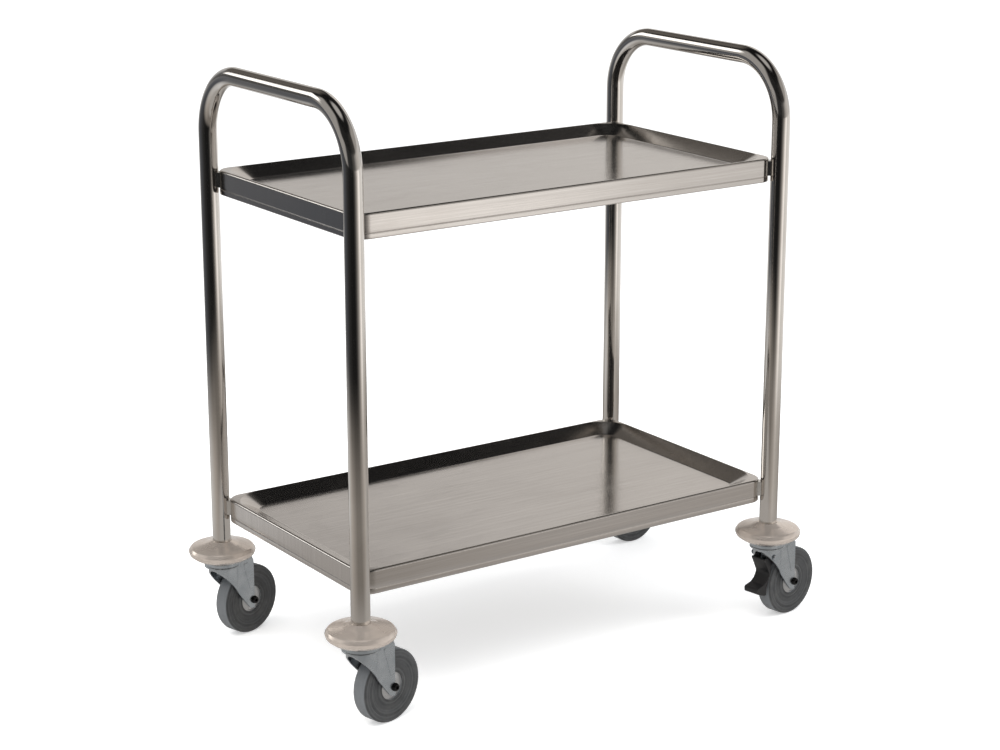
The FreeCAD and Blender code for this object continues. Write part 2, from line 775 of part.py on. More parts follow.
def trim_pieces():
    """Side view of what is cut off the wall below nose and cheeks and round the axle."""
    left, right, bottom = -60, 70, 10  # well clear of the wall
    back = (FORK_REAR, CROWN_UNDER)
    end = AXLE_END_RADIUS
    front_touch = tangent_point(*CHEEK_FRONT, TRAIL, WHEEL_RADIUS, end, 1)
    back_touch = tangent_point(*back, TRAIL, WHEEL_RADIUS, end, -1)
    low = (TRAIL + 1.0, WHEEL_RADIUS - math.sqrt(end * end - 1.0))
    nose = CHEEK_FRONT[0] - (NOSE_LOW - CHEEK_FRONT[1]) * FRONT_SLOPE
    return (
        polyline([(left, NOSE_LOW), (nose, NOSE_LOW), CHEEK_FRONT, front_touch])
        + [arc_through(front_touch, low, back_touch)]
        + polyline([
            back_touch, back, (right, CROWN_UNDER), (right, bottom), (left, bottom),
            (left, NOSE_LOW),
        ])
    )


def cheek_edge(edge):
    """Longer edges of the cheeks' outer faces, leaving out those around the ribs."""
    box = edge.BoundBox
    flat = abs(abs(box.YMin) - CHEEK_OUT) < 1e-3 and abs(box.YMax - box.YMin) < 1e-3
    around_rib = box.ZMin > 64 and box.XMin > 22 and box.XMax < 44
    below_crown = box.ZMax < CROWN_UNDER - 0.5
    return flat and below_crown and box.DiagonalLength > 10.5 and not around_rib


def round_cheeks(body, name):
    # The fork is kept unrounded where the fillet can't be built or spoils the solid.
    try:
        fillet(body, 0.7, cheek_edge, name + "_edge_rounding")
        if body.Shape.isNull() or not body.Shape.isValid():
            raise RuntimeError("rounding")
    except Exception:
        bad = body.Tip
        if bad.Name.endswith("_edge_rounding"):
            prior = bad.BaseFeature
            body.removeObject(bad)
            doc.removeObject(bad.Name)
            body.Tip = prior
            doc.recompute()


def fork(name, braked):
    body = new_body(name + "_fork")
    bore = KING_RADIUS + DIM["runfit"]
    crown_radius = DIM["crowndia"] / 2
    sketch = new_sketch(body, name + "_crown_outline", "XZ_Plane")
    draw(sketch, [
        (bore, CROWN - 3.5),
        (bore, CROWN + 1.5),
        (21.5, CROWN + 1.5, 0.5),
        (23.0, CROWN),
        (crown_radius, CROWN, 0.8),
        (crown_radius, CROWN_UNDER),
        (9.0, CROWN_UNDER),
        (8.0, CROWN - 3.5),
    ])
    revolve(body, sketch)

    # flat tail of the crown, over the cheeks
    sketch = new_sketch(body, name + "_crown_tail", "XY_Plane", CROWN_UNDER)
    draw(sketch, [
        (8, -CHEEK_OUT), (FORK_REAR, -CHEEK_OUT, 3), (FORK_REAR, CHEEK_OUT, 3), (8, CHEEK_OUT),
    ])
    pad(body, sketch, FORK_SKIN, "Dimensions.forkskin")

    sketch = new_sketch(body, name + "_wall_plan", "XY_Plane", CROWN_UNDER)
    draw_pieces(sketch, wall_pieces())
    pad(body, sketch, 80.0, reverse=True)
    sketch = new_sketch(body, name + "_trim_outline", "XZ_Plane")
    draw_pieces(sketch, trim_pieces())
    pocket(body, sketch, 90.0, midplane=True)

    # pressed rib down each cheek
    sketch = new_sketch(
        body, name + "_rib_outline", "XZ_Plane", CHEEK_OUT,
        "Dimensions.forkgap / 2 + Dimensions.forkskin",
    )
    draw(sketch, [
        (25.0, CROWN - 5.0, 2), (35.0, CROWN - 5.0, 2), (43.0, 68.0, 3.0), (37.0, 67.0, 3.0),
    ])
    rib = pad(body, sketch, 0.7)
    doc.recompute()
    plane = (origin_item(body, "XZ_Plane"), [""])
    add_feature(body, "Mirrored", name + "_ribs", Originals=[rib], MirrorPlane=plane)

    sketch = new_sketch(body, name + "_axle_hole", "XZ_Plane")
    circle(sketch, TRAIL, WHEEL_RADIUS, AXLE_RADIUS, "Dimensions.axledia / 2")
    pocket(body, sketch, THROUGH, midplane=True)
    if braked:
        sketch = new_sketch(body, name + "_pivot_hole", "XZ_Plane")
        circle(sketch, BRAKE_X, BRAKE_Z, PIVOT_RADIUS)
        pocket(body, sketch, THROUGH, midplane=True)
    ball_track(body, name + "_ball_track")
    round_cheeks(body, name)
    return body


# ---------------------------------------------------------------- swivels and wheels
HUB_FACE = DIM["hublength"] / 2
BUSH_RADIUS = 6.6
SLEEVE_RADIUS = AXLE_RADIUS + 1.5
# raised band of the hub that the tyre sits around
BAND_HALF, BAND_FOOT, BAND_TOP = 5.5, 22.0, 37.0


def swivel_balls(name):
    balls = new_body(name + "_balls")
    balls.AllowCompound = True
    sketch = new_sketch(balls, name + "_ball_outline", "XZ_Plane")
    arc, diameter = sketch.addGeometry(
        [arc_about(BALL_PITCH, BALL_Z, BALL_RADIUS, -math.pi / 2, math.pi / 2)]
        + polyline([(BALL_PITCH, BALL_Z + BALL_RADIUS), (BALL_PITCH, BALL_Z - BALL_RADIUS)]),
        False,
    )
    constrain(sketch, "Coincident", arc, 2, diameter, 1)
    constrain(sketch, "Coincident", arc, 1, diameter, 2)
    constrain(sketch, "Vertical", diameter)
    constrain(
        sketch, "DistanceX", -1, 1, diameter, 1, BALL_PITCH, expression="Dimensions.ballpitch"
    )
    one = add_feature(
        balls, "Revolution", name + "_ball",
        Profile=sketch, ReferenceAxis=(sketch, ["Edge2"]), Angle=360,
    )
    doc.recompute()
    add_feature(
        balls, "PolarPattern", name + "_ball_pattern",
        Originals=[one], Axis=(origin_item(balls, "Z_Axis"), [""]),
        Angle=360, Occurrences=int(DIM["ballcount"]),
    )
    return balls


def tyre(name):
    wide = DIM["tyrewidth"] / 2
    return turned(name + "_tyre", [
        (-11.0, BAND_FOOT), (-10.2, 24.0), (-10.2, 33.0), (-wide, 36.5),
        (-wide, WHEEL_RADIUS, 7.0), (wide, WHEEL_RADIUS, 7.0),
        (wide, 36.5), (10.2, 33.0), (10.2, 24.0), (11.0, BAND_FOOT),
        (BAND_HALF, BAND_FOOT), (BAND_HALF, BAND_TOP),
        (-BAND_HALF, BAND_TOP), (-BAND_HALF, BAND_FOOT),
    ], ABOUT_Y)


def hub(name):
    return turned(name + "_hub", [
        (-HUB_FACE, BUSH_RADIUS), (-HUB_FACE, 10.0, 0.8), (-11.8, 12.0, 1.5),
        (-9.6, 18.0, 1.5), (-11.2, 20.2, 0.8), (-11.2, BAND_FOOT),
        (-BAND_HALF, BAND_FOOT), (-BAND_HALF, BAND_TOP),
        (BAND_HALF, BAND_TOP), (BAND_HALF, BAND_FOOT),
        (11.2, BAND_FOOT), (11.2, 20.2, 0.8), (9.6, 18.0, 1.5),
        (11.8, 12.0, 1.5), (HUB_FACE, 10.0, 0.8), (HUB_FACE, BUSH_RADIUS),
    ], ABOUT_Y)


def bush(name, side):
    bore = SLEEVE_RADIUS + DIM["runfit"]
    start, end = side * 4.0, side * HUB_FACE
    return turned(name + "_bush", [
        (start, bore), (start, BUSH_RADIUS), (end, BUSH_RADIUS), (end, bore),
    ], ABOUT_Y)


def sleeve(name):
    return turned(name + "_sleeve", [
        (-CHEEK_IN, AXLE_RADIUS), (-CHEEK_IN, SLEEVE_RADIUS),
        (CHEEK_IN, SLEEVE_RADIUS), (CHEEK_IN, AXLE_RADIUS),
    ], ABOUT_Y)


def axle_bolt(name):
    """Bolt with its head, and a hexagon socket in it, at -Y."""
    bolt = turned(name + "_axle_bolt", [
        (-CHEEK_OUT - 4.4, 0), (-CHEEK_OUT - 4.4, 4.4, 1.2), (-CHEEK_OUT - 1.2, 5.6, 0.8),
        (-CHEEK_OUT, 5.6), (-CHEEK_OUT, AXLE_RADIUS), (CHEEK_OUT + 7.4, AXLE_RADIUS),
        (CHEEK_OUT + 8.0, AXLE_RADIUS - 0.6), (CHEEK_OUT + 8.0, 0),
    ], ABOUT_Y)
    sketch = new_sketch(bolt, name + "_socket", "XZ_Plane", CHEEK_OUT + 4.5)
    hexagon(sketch, 5.0)
    pocket(bolt, sketch, 2.6)
    return bolt


def axle_nut(name):
    """Nut against the +Y cheek."""
    nut = new_body(name + "_nut")
    sketch = new_sketch(nut, name + "_nut_plan", "XZ_Plane", -CHEEK_OUT)
    hexagon(sketch, 13.0)
    circle(sketch, 0, 0, AXLE_RADIUS, "Dimensions.axledia / 2")
    pad(nut, sketch, 6.5, reverse=True)
    return nut


# ---------------------------------------------------------------- brakes
LEVER_OUT, LEVER_IN = 12.6, 10.4  # outer and inner faces of the lever's flanges, from y = 0
PAD_BACK = -13.6  # x of the face between lever and friction pad
# side view of the lever: x, z, rounding
LEVER_OUTLINE = [
    (-19.6, 97.6, 1.2),
    (BRAKE_X - 6.4, BRAKE_Z - 1.5, 1.2),
    (BRAKE_X - 5.2, BRAKE_Z + 5.2, 4.9),
    (BRAKE_X + 5.2, BRAKE_Z + 5.2, 4.9),
    (BRAKE_X + 5.2, 92.0, 4.0),
    (-5.6, 82.0, 6.0), (-4.8, 73.2, 5.0), (-10.2, 61.5, 5.0),
    (PAD_BACK, 54.4, 2.0), (PAD_BACK, 42.8, 0.8),
    (-17.5, 42.2, 2.5), (-32.6, 47.6, 3.0), (-33.4, 55.6, 3.0),
    (-19.5, 58.6, 5.0), (-12.8, 63.5, 5.0), (-7.6, 73.2, 7.0),
]
# brake rivet: distance from y = 0, radius
RIVET_OUTLINE = [
    (LEVER_IN - 0.2, 0), (LEVER_IN - 0.2, PIVOT_RADIUS),
    (LEVER_OUT + 0.15, PIVOT_RADIUS), (LEVER_OUT + 0.15, 3.6),
    (LEVER_OUT + 1.5, 3.6), (LEVER_OUT + 1.5, PIVOT_RADIUS),
    (NOSE_RADIUS + 0.05, PIVOT_RADIUS), (NOSE_RADIUS + 0.05, 4.2),
    (NOSE_RADIUS + 1.5, 3.2), (NOSE_RADIUS + 1.5, 0),
]


def brake_lever(name):
    lever = new_body(name + "_lever")
    sketch = new_sketch(lever, name + "_lever_side", "XZ_Plane")
    draw(sketch, LEVER_OUTLINE)
    pad(lever, sketch, 2 * LEVER_OUT, midplane=True)
    # two thin side flanges behind the front web
    sketch = new_sketch(lever, name + "_lever_inside", "XZ_Plane")
    draw(sketch, [(-23.1, 110.0), (-6.6, 77.0), (20.0, 77.0), (20.0, 110.0)])
    pocket(lever, sketch, 2 * LEVER_IN, midplane=True)
    sketch = new_sketch(lever, name + "_lever_pivot", "XZ_Plane")
    circle(sketch, BRAKE_X, BRAKE_Z, PIVOT_RADIUS + DIM["runfit"])
    pocket(lever, sketch, THROUGH, midplane=True)
    return lever


def brake_pad(name):
    """Friction pad; its face fits the tread when the lever is fully pressed."""
    press = math.radians(DIM["brakepress"])
    dx, dz = TRAIL - BRAKE_X, WHEEL_RADIUS - BRAKE_Z
    centre_x = BRAKE_X + dx * math.cos(press) + dz * math.sin(press)
    centre_z = BRAKE_Z + dz * math.cos(press) - dx * math.sin(press)
    radius = WHEEL_RADIUS + 0.15

    def tread_point(z):
        return centre_x - math.sqrt(radius * radius - (z - centre_z) ** 2), z

    low, middle, high = 43.6, 48.0, 52.6
    shoe = new_body(name + "_shoe")
    sketch = new_sketch(shoe, name + "_shoe_side", "XZ_Plane")
    draw_pieces(
        sketch,
        polyline([(PAD_BACK, low), tread_point(low)])
        + [arc_through(tread_point(low), tread_point(middle), tread_point(high))]
        + polyline([tread_point(high), (PAD_BACK, high), (PAD_BACK, low)]),
    )
    pad(shoe, sketch, 20.0, midplane=True)
    return shoe


def brake_rivet(name, side):
    return turned(name + "_rivet", [(side * y, r) for y, r in RIVET_OUTLINE], ABOUT_Y)


# ---------------------------------------------------------------- casters
def caster(name, side_x, side_y, heading, braked):
    angle = DIM[heading]
    turn = "Dimensions." + heading

    def put(obj, along=None, height=0.0, height_text=None):
        """Sets a piece at a height, out from the swivel axis by the dimension along."""
        x_text, y_text = leg_expressions(side_x, side_y)
        reach = 0.0
        if along:
            reach = DIM[along]
            x_text += " + Dimensions.%s * cos(%s * 1 deg)" % (along, turn)
            y_text += " + Dimensions.%s * sin(%s * 1 deg)" % (along, turn)
        expressions = {"Placement.Base.x": x_text, "Placement.Base.y": y_text}
        if height_text:
            expressions["Placement.Base.z"] = height_text
        expressions["Placement.Rotation.Angle"] = turn
        radians = math.radians(angle)
        base = Vector(
            side_x * LEG_X + reach * math.cos(radians),
            side_y * LEG_Y + reach * math.sin(radians),
            height,
        )
        place(obj, base, angle, expressions)
        return obj

    def at_wheel(obj):
        return put(obj, "trail", WHEEL_RADIUS, "Dimensions.wheeldia / 2")

    def at_pivot(obj):
        return put(obj, "brakex", BRAKE_Z, "Dimensions.brakez")

    keep(name + "_fork", put(fork(name, braked)))
    keep(name + "_swivel_balls", put(swivel_balls(name)))
    keep(name + "_tyre", at_wheel(tyre(name)))
    keep(name + "_wheel_hub", at_wheel(hub(name)))
    group(name + "_wheel_bushes", [at_wheel(bush(name, side)) for side in (-1, 1)])
    keep(name + "_axle_sleeve", at_wheel(sleeve(name)))
    keep(name + "_axle_bolt", at_wheel(axle_bolt(name)))
    keep(name + "_axle_nut", at_wheel(axle_nut(name)))
    if braked:
        keep(name + "_brake_lever", put(brake_lever(name)))
        keep(name + "_brake_pad", put(brake_pad(name)))
        group(name + "_brake_rivets", [at_pivot(brake_rivet(name, side)) for side in (-1, 1)])


for corner in CORNERS:
    caster(*corner)

# ---------------------------------------------------------------- check and write
doc.recompute()
failed = [o.Name for o in doc.Objects if "Invalid" in o.State or "Error" in o.State]
if failed:
    raise RuntimeError("failed objects: %s" % failed)
for label, obj in nodes.items():
    shape = obj.Shape
    if shape.isNull() or not shape.isValid() or not shape.Solids:
        raise RuntimeError("bad shape: " + label)
os.makedirs("parts", exist_ok=True)
for label, obj in nodes.items():
    obj.Shape.exportStep("parts/%s.step" % label)
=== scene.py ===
import json
import math

import bmesh
import bpy
from mathutils import Matrix, Vector, noise


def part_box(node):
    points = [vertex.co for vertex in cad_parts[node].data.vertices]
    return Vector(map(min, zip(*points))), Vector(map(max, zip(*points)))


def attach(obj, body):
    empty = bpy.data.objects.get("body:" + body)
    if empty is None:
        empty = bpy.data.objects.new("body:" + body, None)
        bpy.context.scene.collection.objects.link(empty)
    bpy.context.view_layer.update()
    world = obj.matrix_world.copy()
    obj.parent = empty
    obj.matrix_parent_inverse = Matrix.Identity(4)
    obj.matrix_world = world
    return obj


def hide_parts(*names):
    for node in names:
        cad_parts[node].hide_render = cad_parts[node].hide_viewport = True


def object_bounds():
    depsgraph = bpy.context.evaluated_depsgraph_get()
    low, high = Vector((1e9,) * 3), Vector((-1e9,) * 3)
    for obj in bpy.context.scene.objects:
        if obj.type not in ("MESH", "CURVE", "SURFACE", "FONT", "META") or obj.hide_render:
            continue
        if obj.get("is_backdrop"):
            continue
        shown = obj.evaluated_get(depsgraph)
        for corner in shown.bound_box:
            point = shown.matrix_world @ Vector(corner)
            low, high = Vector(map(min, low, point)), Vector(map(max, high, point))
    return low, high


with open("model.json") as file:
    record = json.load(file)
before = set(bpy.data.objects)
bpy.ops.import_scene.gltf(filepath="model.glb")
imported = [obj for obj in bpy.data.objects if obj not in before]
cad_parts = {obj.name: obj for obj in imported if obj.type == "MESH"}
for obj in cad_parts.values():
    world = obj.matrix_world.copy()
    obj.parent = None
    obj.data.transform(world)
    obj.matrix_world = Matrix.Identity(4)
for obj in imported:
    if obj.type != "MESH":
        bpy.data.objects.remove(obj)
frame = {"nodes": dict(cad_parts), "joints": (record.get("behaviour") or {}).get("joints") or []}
NODES = frame["nodes"]
JOINTS = {joint["name"]: joint for joint in frame["joints"]}
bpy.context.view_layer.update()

MM = 0.001
CORNERS = ("front_left", "front_right", "rear_left", "rear_right")

# ------------------------------------------------------------------ driving sizes
hoop_low, hoop_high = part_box("left_hoop_frame")
TUBE_RADIUS = (hoop_high.x - hoop_low.x) / 2
TUBE_WALL = 1.2 * MM
LEG_X = -(hoop_high.x + hoop_low.x) / 2
LEG_Y = hoop_high.y - TUBE_RADIUS
HOOP_TOP = hoop_high.z - TUBE_RADIUS
HOOP_FOOT = hoop_low.z
BEND_RADIUS = 84.0 * MM

TRAY_BOXES = {tier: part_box(tier + "_tray") for tier in ("upper", "lower")}
TRAY_HALF_X = TRAY_BOXES["upper"][1].x
TRAY_HALF_Y = TRAY_BOXES["upper"][1].y

looks = []  # (object, material key) of every piece built here


def install(ob, rides, node, slot):
    """Tell the frame what a new piece moves with, which CAD node it replaces and its slot."""
    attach(ob, rides)
    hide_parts(node)
    looks.append((ob, slot))


# ------------------------------------------------------------------ mesh helpers
def clean_mesh(mesh, weld=None):
    """Weld vertices closer than the given distance, if any, and make the normals agree."""
    bm = bmesh.new()
    bm.from_mesh(mesh)
    if weld:
        bmesh.ops.remove_doubles(bm, verts=bm.verts, dist=weld)
    bmesh.ops.recalc_face_normals(bm, faces=bm.faces)
    bm.to_mesh(mesh)
    bm.free()


def ring_mesh(name, rings, along, around, sharp_angle, closed=False, capped=False):
    """Join rings of equal count in order. Ring i has v = along[i], point k has u = around[k]."""
    count = len(rings[0])
    faces, uvs = [], []
    for i in range(len(rings) if closed else len(rings) - 1):
        here, there = i * count, (i + 1) % len(rings) * count
        for k in range(count):
            m = (k + 1) % count
            faces.append((here + k, there + k, there + m, here + m))
            uvs += [(around[k], along[i]), (around[k], along[i + 1])]
            uvs += [(around[k + 1], along[i + 1]), (around[k + 1], along[i])]
    if capped:
        for i, order in ((0, range(count)), (len(rings) - 1, range(count - 1, -1, -1))):
            faces.append(tuple(i * count + k for k in order))
            uvs += [(rings[i][k].x, rings[i][k].y) for k in order]

    mesh = bpy.data.meshes.new(name)
    mesh.from_pydata([tuple(point) for ring in rings for point in ring], [], faces)
    layer = mesh.uv_layers.new(name="UVMap")
    layer.data.foreach_set("uv", [value for uv in uvs for value in uv])
    mesh.update()
    clean_mesh(mesh)
    for face in mesh.polygons:
        face.use_smooth = True
    mesh.set_sharp_from_angle(angle=math.radians(sharp_angle))
    ob = bpy.data.objects.new(name, mesh)
    bpy.context.scene.collection.objects.link(ob)
    return ob


def rounded(corners, steps):
    """Closed outline of (a, b[, fillet radius]) corners as a fine polyline."""
    out = []
    for i, corner in enumerate(corners):
        here = Vector(corner[:2])
        radius = corner[2] if len(corner) > 2 else 0.0
        if radius <= 0:
            out.append(here)
            continue
        back = Vector(corners[i - 1][:2]) - here
        ahead = Vector(corners[(i + 1) % len(corners)][:2]) - here
        back_length, ahead_length = back.length, ahead.length
        if back_length < 1e-9 or ahead_length < 1e-9:
            out.append(here)
            continue
        back /= back_length
        ahead /= ahead_length
        angle = math.acos(max(-1.0, min(1.0, back.dot(ahead))))
        if angle > math.pi - 1e-3:  # straight on, so there is nothing to round
            out.append(here)
            continue
        reach = radius / math.tan(angle / 2)
        limit = 0.48 * min(back_length, ahead_length)
        if reach > limit:
            reach = limit
            radius = reach * math.tan(angle / 2)
        centre = here + (back + ahead).normalized() * (radius / math.sin(angle / 2))
        start = here + back * reach - centre
        end = here + ahead * reach - centre
        sweep = math.atan2(start.x * end.y - start.y * end.x, start.dot(end))
        for k in range(steps + 1):
            turn = sweep * k / steps
            cos, sin = math.cos(turn), math.sin(turn)
            out.append(centre + Vector((start.x * cos - start.y * sin,
                                        start.x * sin + start.y * cos)))
    return out


def lathe(name, outline, origin, axis, segments, fillet_steps):
    """Closed outline of (along, radius[, fillet]) in mm, turned about the axis at origin."""
    points = rounded(outline, fillet_steps)
    axis = Vector(axis).normalized()
    helper = Vector((0, 0, 1)) if abs(axis.z) < 0.9 else Vector((1, 0, 0))
    first = (helper - axis * helper.dot(axis)).normalized()
    second = axis.cross(first)
    origin = Vector(origin)
    rings = []
    for point in points:
        ring = []
        for k in range(segments):
            angle = 2 * math.pi * k / segments
            outward = first * math.cos(angle) + second * math.sin(angle)
            ring.append(origin + axis * (point.x * MM) + outward * (point.y * MM))
        rings.append(ring)
    along = [0.0]
    for i, point in enumerate(points):
        along.append(along[-1] + (points[(i + 1) % len(points)] - point).length * MM)
    widest = max(point.y for point in points) * MM
    around = [2 * math.pi * widest * k / segments for k in range(segments + 1)]
    return ring_mesh(name, rings, along, around, sharp_angle=40.0, closed=True)


# ------------------------------------------------------------------ hoops
LEG_STEPS, BEND_STEPS, CROWN_STEPS = 26, 30, 10
TUBE_SEGMENTS = 72
BEND_FLATTENING = 0.012  # share of the radius a drawn tube loses at the middle of a bend


def hoop_path():
    """(y, z, tangent y, tangent z) along a hoop, from the -Y foot to the +Y foot."""
    straight_top = HOOP_TOP - BEND_RADIUS
    bend_y = LEG_Y - BEND_RADIUS
    out = []
    for i in range(LEG_STEPS):
        z = HOOP_FOOT + (straight_top - HOOP_FOOT) * i / LEG_STEPS
        out.append((-LEG_Y, z, 0.0, 1.0))
    for i in range(BEND_STEPS):
        angle = math.pi / 2 * i / BEND_STEPS
        cos, sin = math.cos(angle), math.sin(angle)
        out.append((-bend_y - BEND_RADIUS * cos, straight_top + BEND_RADIUS * sin, sin, cos))
    for i in range(CROWN_STEPS):
        out.append((-bend_y + 2 * bend_y * i / CROWN_STEPS, HOOP_TOP, 1.0, 0.0))
    for i in range(BEND_STEPS):
        angle = math.pi / 2 * i / BEND_STEPS
        cos, sin = math.cos(angle), math.sin(angle)
        out.append((bend_y + BEND_RADIUS * sin, straight_top + BEND_RADIUS * cos, cos, -sin))
    for i in range(LEG_STEPS + 1):
        z = straight_top + (HOOP_FOOT - straight_top) * i / LEG_STEPS
        out.append((LEG_Y, z, 0.0, -1.0))
    return out


def tube_ring(x, station, radius, flattening=0.0):
    y, z, tangent_y, tangent_z = station
    centre = Vector((x, y, z))
    across, outward = Vector((1, 0, 0)), Vector((0, -tangent_z, tangent_y))
    ring = []
    for k in range(TUBE_SEGMENTS):
        angle = 2 * math.pi * k / TUBE_SEGMENTS
        ring.append(centre + across * (radius * math.cos(angle))
                    + outward * (radius * (1 - flattening) * math.sin(angle)))
    return ring


def make_hoop(name, x):
    path = hoop_path()
    rings, along = [], []
    total = 0.0
    for i, station in enumerate(path):
        y, z, tangent_y, tangent_z = station
        if i:
            total += math.hypot(y - path[i - 1][0], z - path[i - 1][1])
        bent = 1.0 - abs(abs(tangent_y) - abs(tangent_z))
        rings.append(tube_ring(x, station, TUBE_RADIUS, BEND_FLATTENING * bent))
        along.append(total)
    # the bore runs back through every second station, then the skin closes on its first ring
    bore = [tube_ring(x, station, TUBE_RADIUS - TUBE_WALL) for station in path[::2]]
    rings += bore[::-1] + [rings[0]]
    along += [total + 0.01 * (i + 1) for i in range(len(bore))] + [total + 2.0]
    around = [2 * math.pi * TUBE_RADIUS * k / TUBE_SEGMENTS for k in range(TUBE_SEGMENTS + 1)]
    ob = ring_mesh(name, rings, along, around, sharp_angle=40.0)
    clean_mesh(ob.data, weld=1e-6)
    ob.data.set_sharp_from_angle(angle=math.radians(40))
    return ob


for name, x in (("left_hoop", -LEG_X), ("right_hoop", LEG_X)):
    install(make_hoop(name, x), "cart_frame", name + "_frame", "polished_tube")


# ------------------------------------------------------------------ trays
# All in mm. Insets are measured inward from the outer face of the skirt.
SHEET = 1.2
WELL_DEPTH = 13.6
WELL_TOP_INSET, WELL_FOOT_INSET = 4.0, 29.5  # ends of the sloping well wall
WELL_FLOOR_INSET = 46.0                      # outermost ring of the flat floor
EDGE_BEND, WELL_BEND = 3.0, 7.0              # radii at the rim and at the foot of the well
WELL_CORNER, SKIRT_CORNER = 51.0, 23.0       # inset of the corner arc centres in plan
# (inset, height above the skirt's lower edge) of the pressed line above the folded hem
PRESSED_LINE = [
    (0.0, 6.6), (0.08, 7.0), (0.30, 7.3), (0.35, 7.55), (0.30, 7.8), (0.08, 8.05), (0.0, 8.5),
    (0.0, 14.0),
]
# spans along X and along Y, and steps in each corner, of a ring in plan
PLAN_X_STEPS, PLAN_Y_STEPS, PLAN_CORNER_STEPS = 36, 20, 20
# the long skirts bow inward by about this much
SKIRT_BOW = 0.18 * MM


def plan_ring(inset, corner, z):
    """Counter-clockwise rounded rectangle. inset and corner are in mm, z in metres."""
    inset *= MM
    corner *= MM
    radius = corner - inset

    def point(sign_x, sign_y, degrees):
        angle = math.radians(degrees)
        return Vector((sign_x * (TRAY_HALF_X - corner) + radius * math.cos(angle),
                       sign_y * (TRAY_HALF_Y - corner) + radius * math.sin(angle), z))

    out = []
    corners = ((1, -1, -90), (1, 1, 0), (-1, 1, 90), (-1, -1, 180))
    for i, (sign_x, sign_y, start) in enumerate(corners):
        for k in range(PLAN_CORNER_STEPS + 1):
            out.append(point(sign_x, sign_y, start + 90.0 * k / PLAN_CORNER_STEPS))
        side_start, side_end = out[-1], point(*corners[(i + 1) % 4])
        steps = PLAN_Y_STEPS if i in (0, 2) else PLAN_X_STEPS
        for k in range(1, steps):
            out.append(side_start.lerp(side_end, k / steps))
    return out


def arc(inset, z, radius, start, end, steps):
    """(inset, z) points on an arc about a centre, from start to end in degrees."""
    out = []
    for k in range(steps + 1):
        angle = math.radians(start + (end - start) * k / steps)
        out.append((inset + radius * math.cos(angle), z + radius * math.sin(angle)))
    return out


def tray_profile(drop):
    """(inset, corner, z below the rim) in mm, from the underside round to the well floor."""
    run = WELL_FOOT_INSET - WELL_TOP_INSET
    slope = math.atan2(WELL_DEPTH, run)
    degrees = math.degrees(slope)
    cos, sin = math.cos(slope), math.sin(slope)
    under = WELL_DEPTH + SHEET
    under_top = WELL_TOP_INSET - SHEET / sin
    low_inset = under_top + under / math.tan(slope)
    lip_inset = under_top + SHEET / math.tan(slope)
    underside = [
        (WELL_FLOOR_INSET, -under),
        (low_inset + 5.0, -under),
        (low_inset + 1.6, -under),
        (low_inset - 1.4 * cos, -under + 1.4 * sin),
        (lip_inset + 0.5 * cos, -SHEET - 0.5 * sin),
        (lip_inset - 0.4, -SHEET),
    ]
    # down the inner face, round the folded hem and up the outer face
    skirt = [
        (3.2, -SHEET),
        *arc(EDGE_BEND, -EDGE_BEND, EDGE_BEND - SHEET, 90, 180, steps=6),
        (SHEET, -drop + 8.2),
        (1.3, -drop + 7.9),
        (2 * SHEET, -drop + 7.5),
        (2 * SHEET, -drop + SHEET),
        *arc(SHEET, -drop + SHEET, SHEET, 0, -180, steps=10),
        *((inset, -drop + height) for inset, height in PRESSED_LINE),
        (0.0, -4.4),
        *arc(EDGE_BEND, -EDGE_BEND, EDGE_BEND, 180, 90, steps=12),
    ]
    lip_centre = WELL_TOP_INSET - EDGE_BEND * math.tan(slope / 2)
    foot_centre = WELL_FOOT_INSET + WELL_BEND * math.tan(slope / 2)
    well = [
        (lip_centre - 0.05, 0.0),
        *arc(lip_centre, -EDGE_BEND, EDGE_BEND, 90, 90 - degrees, steps=8),
        (WELL_TOP_INSET + run * 0.4, -WELL_DEPTH * 0.4),
        *arc(foot_centre, -WELL_DEPTH + WELL_BEND, WELL_BEND, 270 - degrees, 270, steps=12),
        (foot_centre + 1.5, -WELL_DEPTH),
        (WELL_FLOOR_INSET, -WELL_DEPTH),
    ]
    sections = ((WELL_CORNER, underside), (SKIRT_CORNER, skirt), (WELL_CORNER, well))
    return [(inset, corner, z) for corner, points in sections for inset, z in points]


def bow_skirts(mesh, rim):
    """A pressed sheet is never quite straight: draw the long skirts in, unevenly."""
    for vertex in mesh.vertices:
        p = vertex.co
        if abs(abs(p.y) - TRAY_HALF_Y) < 2.6 * MM and p.z < rim - 4 * MM:
            free = (TRAY_HALF_X * 0.93 - abs(p.x)) / (TRAY_HALF_X * 0.3)
            free = max(0.0, min(1.0, free))  # 0 at the tray's ends, 1 in the middle
            wave = noise.noise(Vector((p.x * 5.0, p.y * 5.0, rim * 7.0)))
            p.y -= math.copysign(SKIRT_BOW * free * (0.6 + 0.4 * wave), p.y)
    mesh.update()


def make_tray(name, low, high):
    rim = high.z
    profile = tray_profile((high.z - low.z) / MM)
    rings, along = [], []
    total = 0.0
    for i, (inset, corner, z) in enumerate(profile):
        rings.append(plan_ring(inset, corner, rim + z * MM))
        if i:
            total += math.hypot(inset - profile[i - 1][0], z - profile[i - 1][2]) * MM
        along.append(total)
    outer = plan_ring(0.0, SKIRT_CORNER, rim)
    around = [0.0]
    for k, point in enumerate(outer):
        around.append(around[-1] + (outer[(k + 1) % len(outer)] - point).length)
    ob = ring_mesh(name, rings, along, around, sharp_angle=42.0, capped=True)
    bow_skirts(ob.data, rim)
    return ob


for tier, (low, high) in TRAY_BOXES.items():
    install(make_tray(tier + "_shelf", low, high), "cart_frame", tier + "_tray", "tray_sheet")


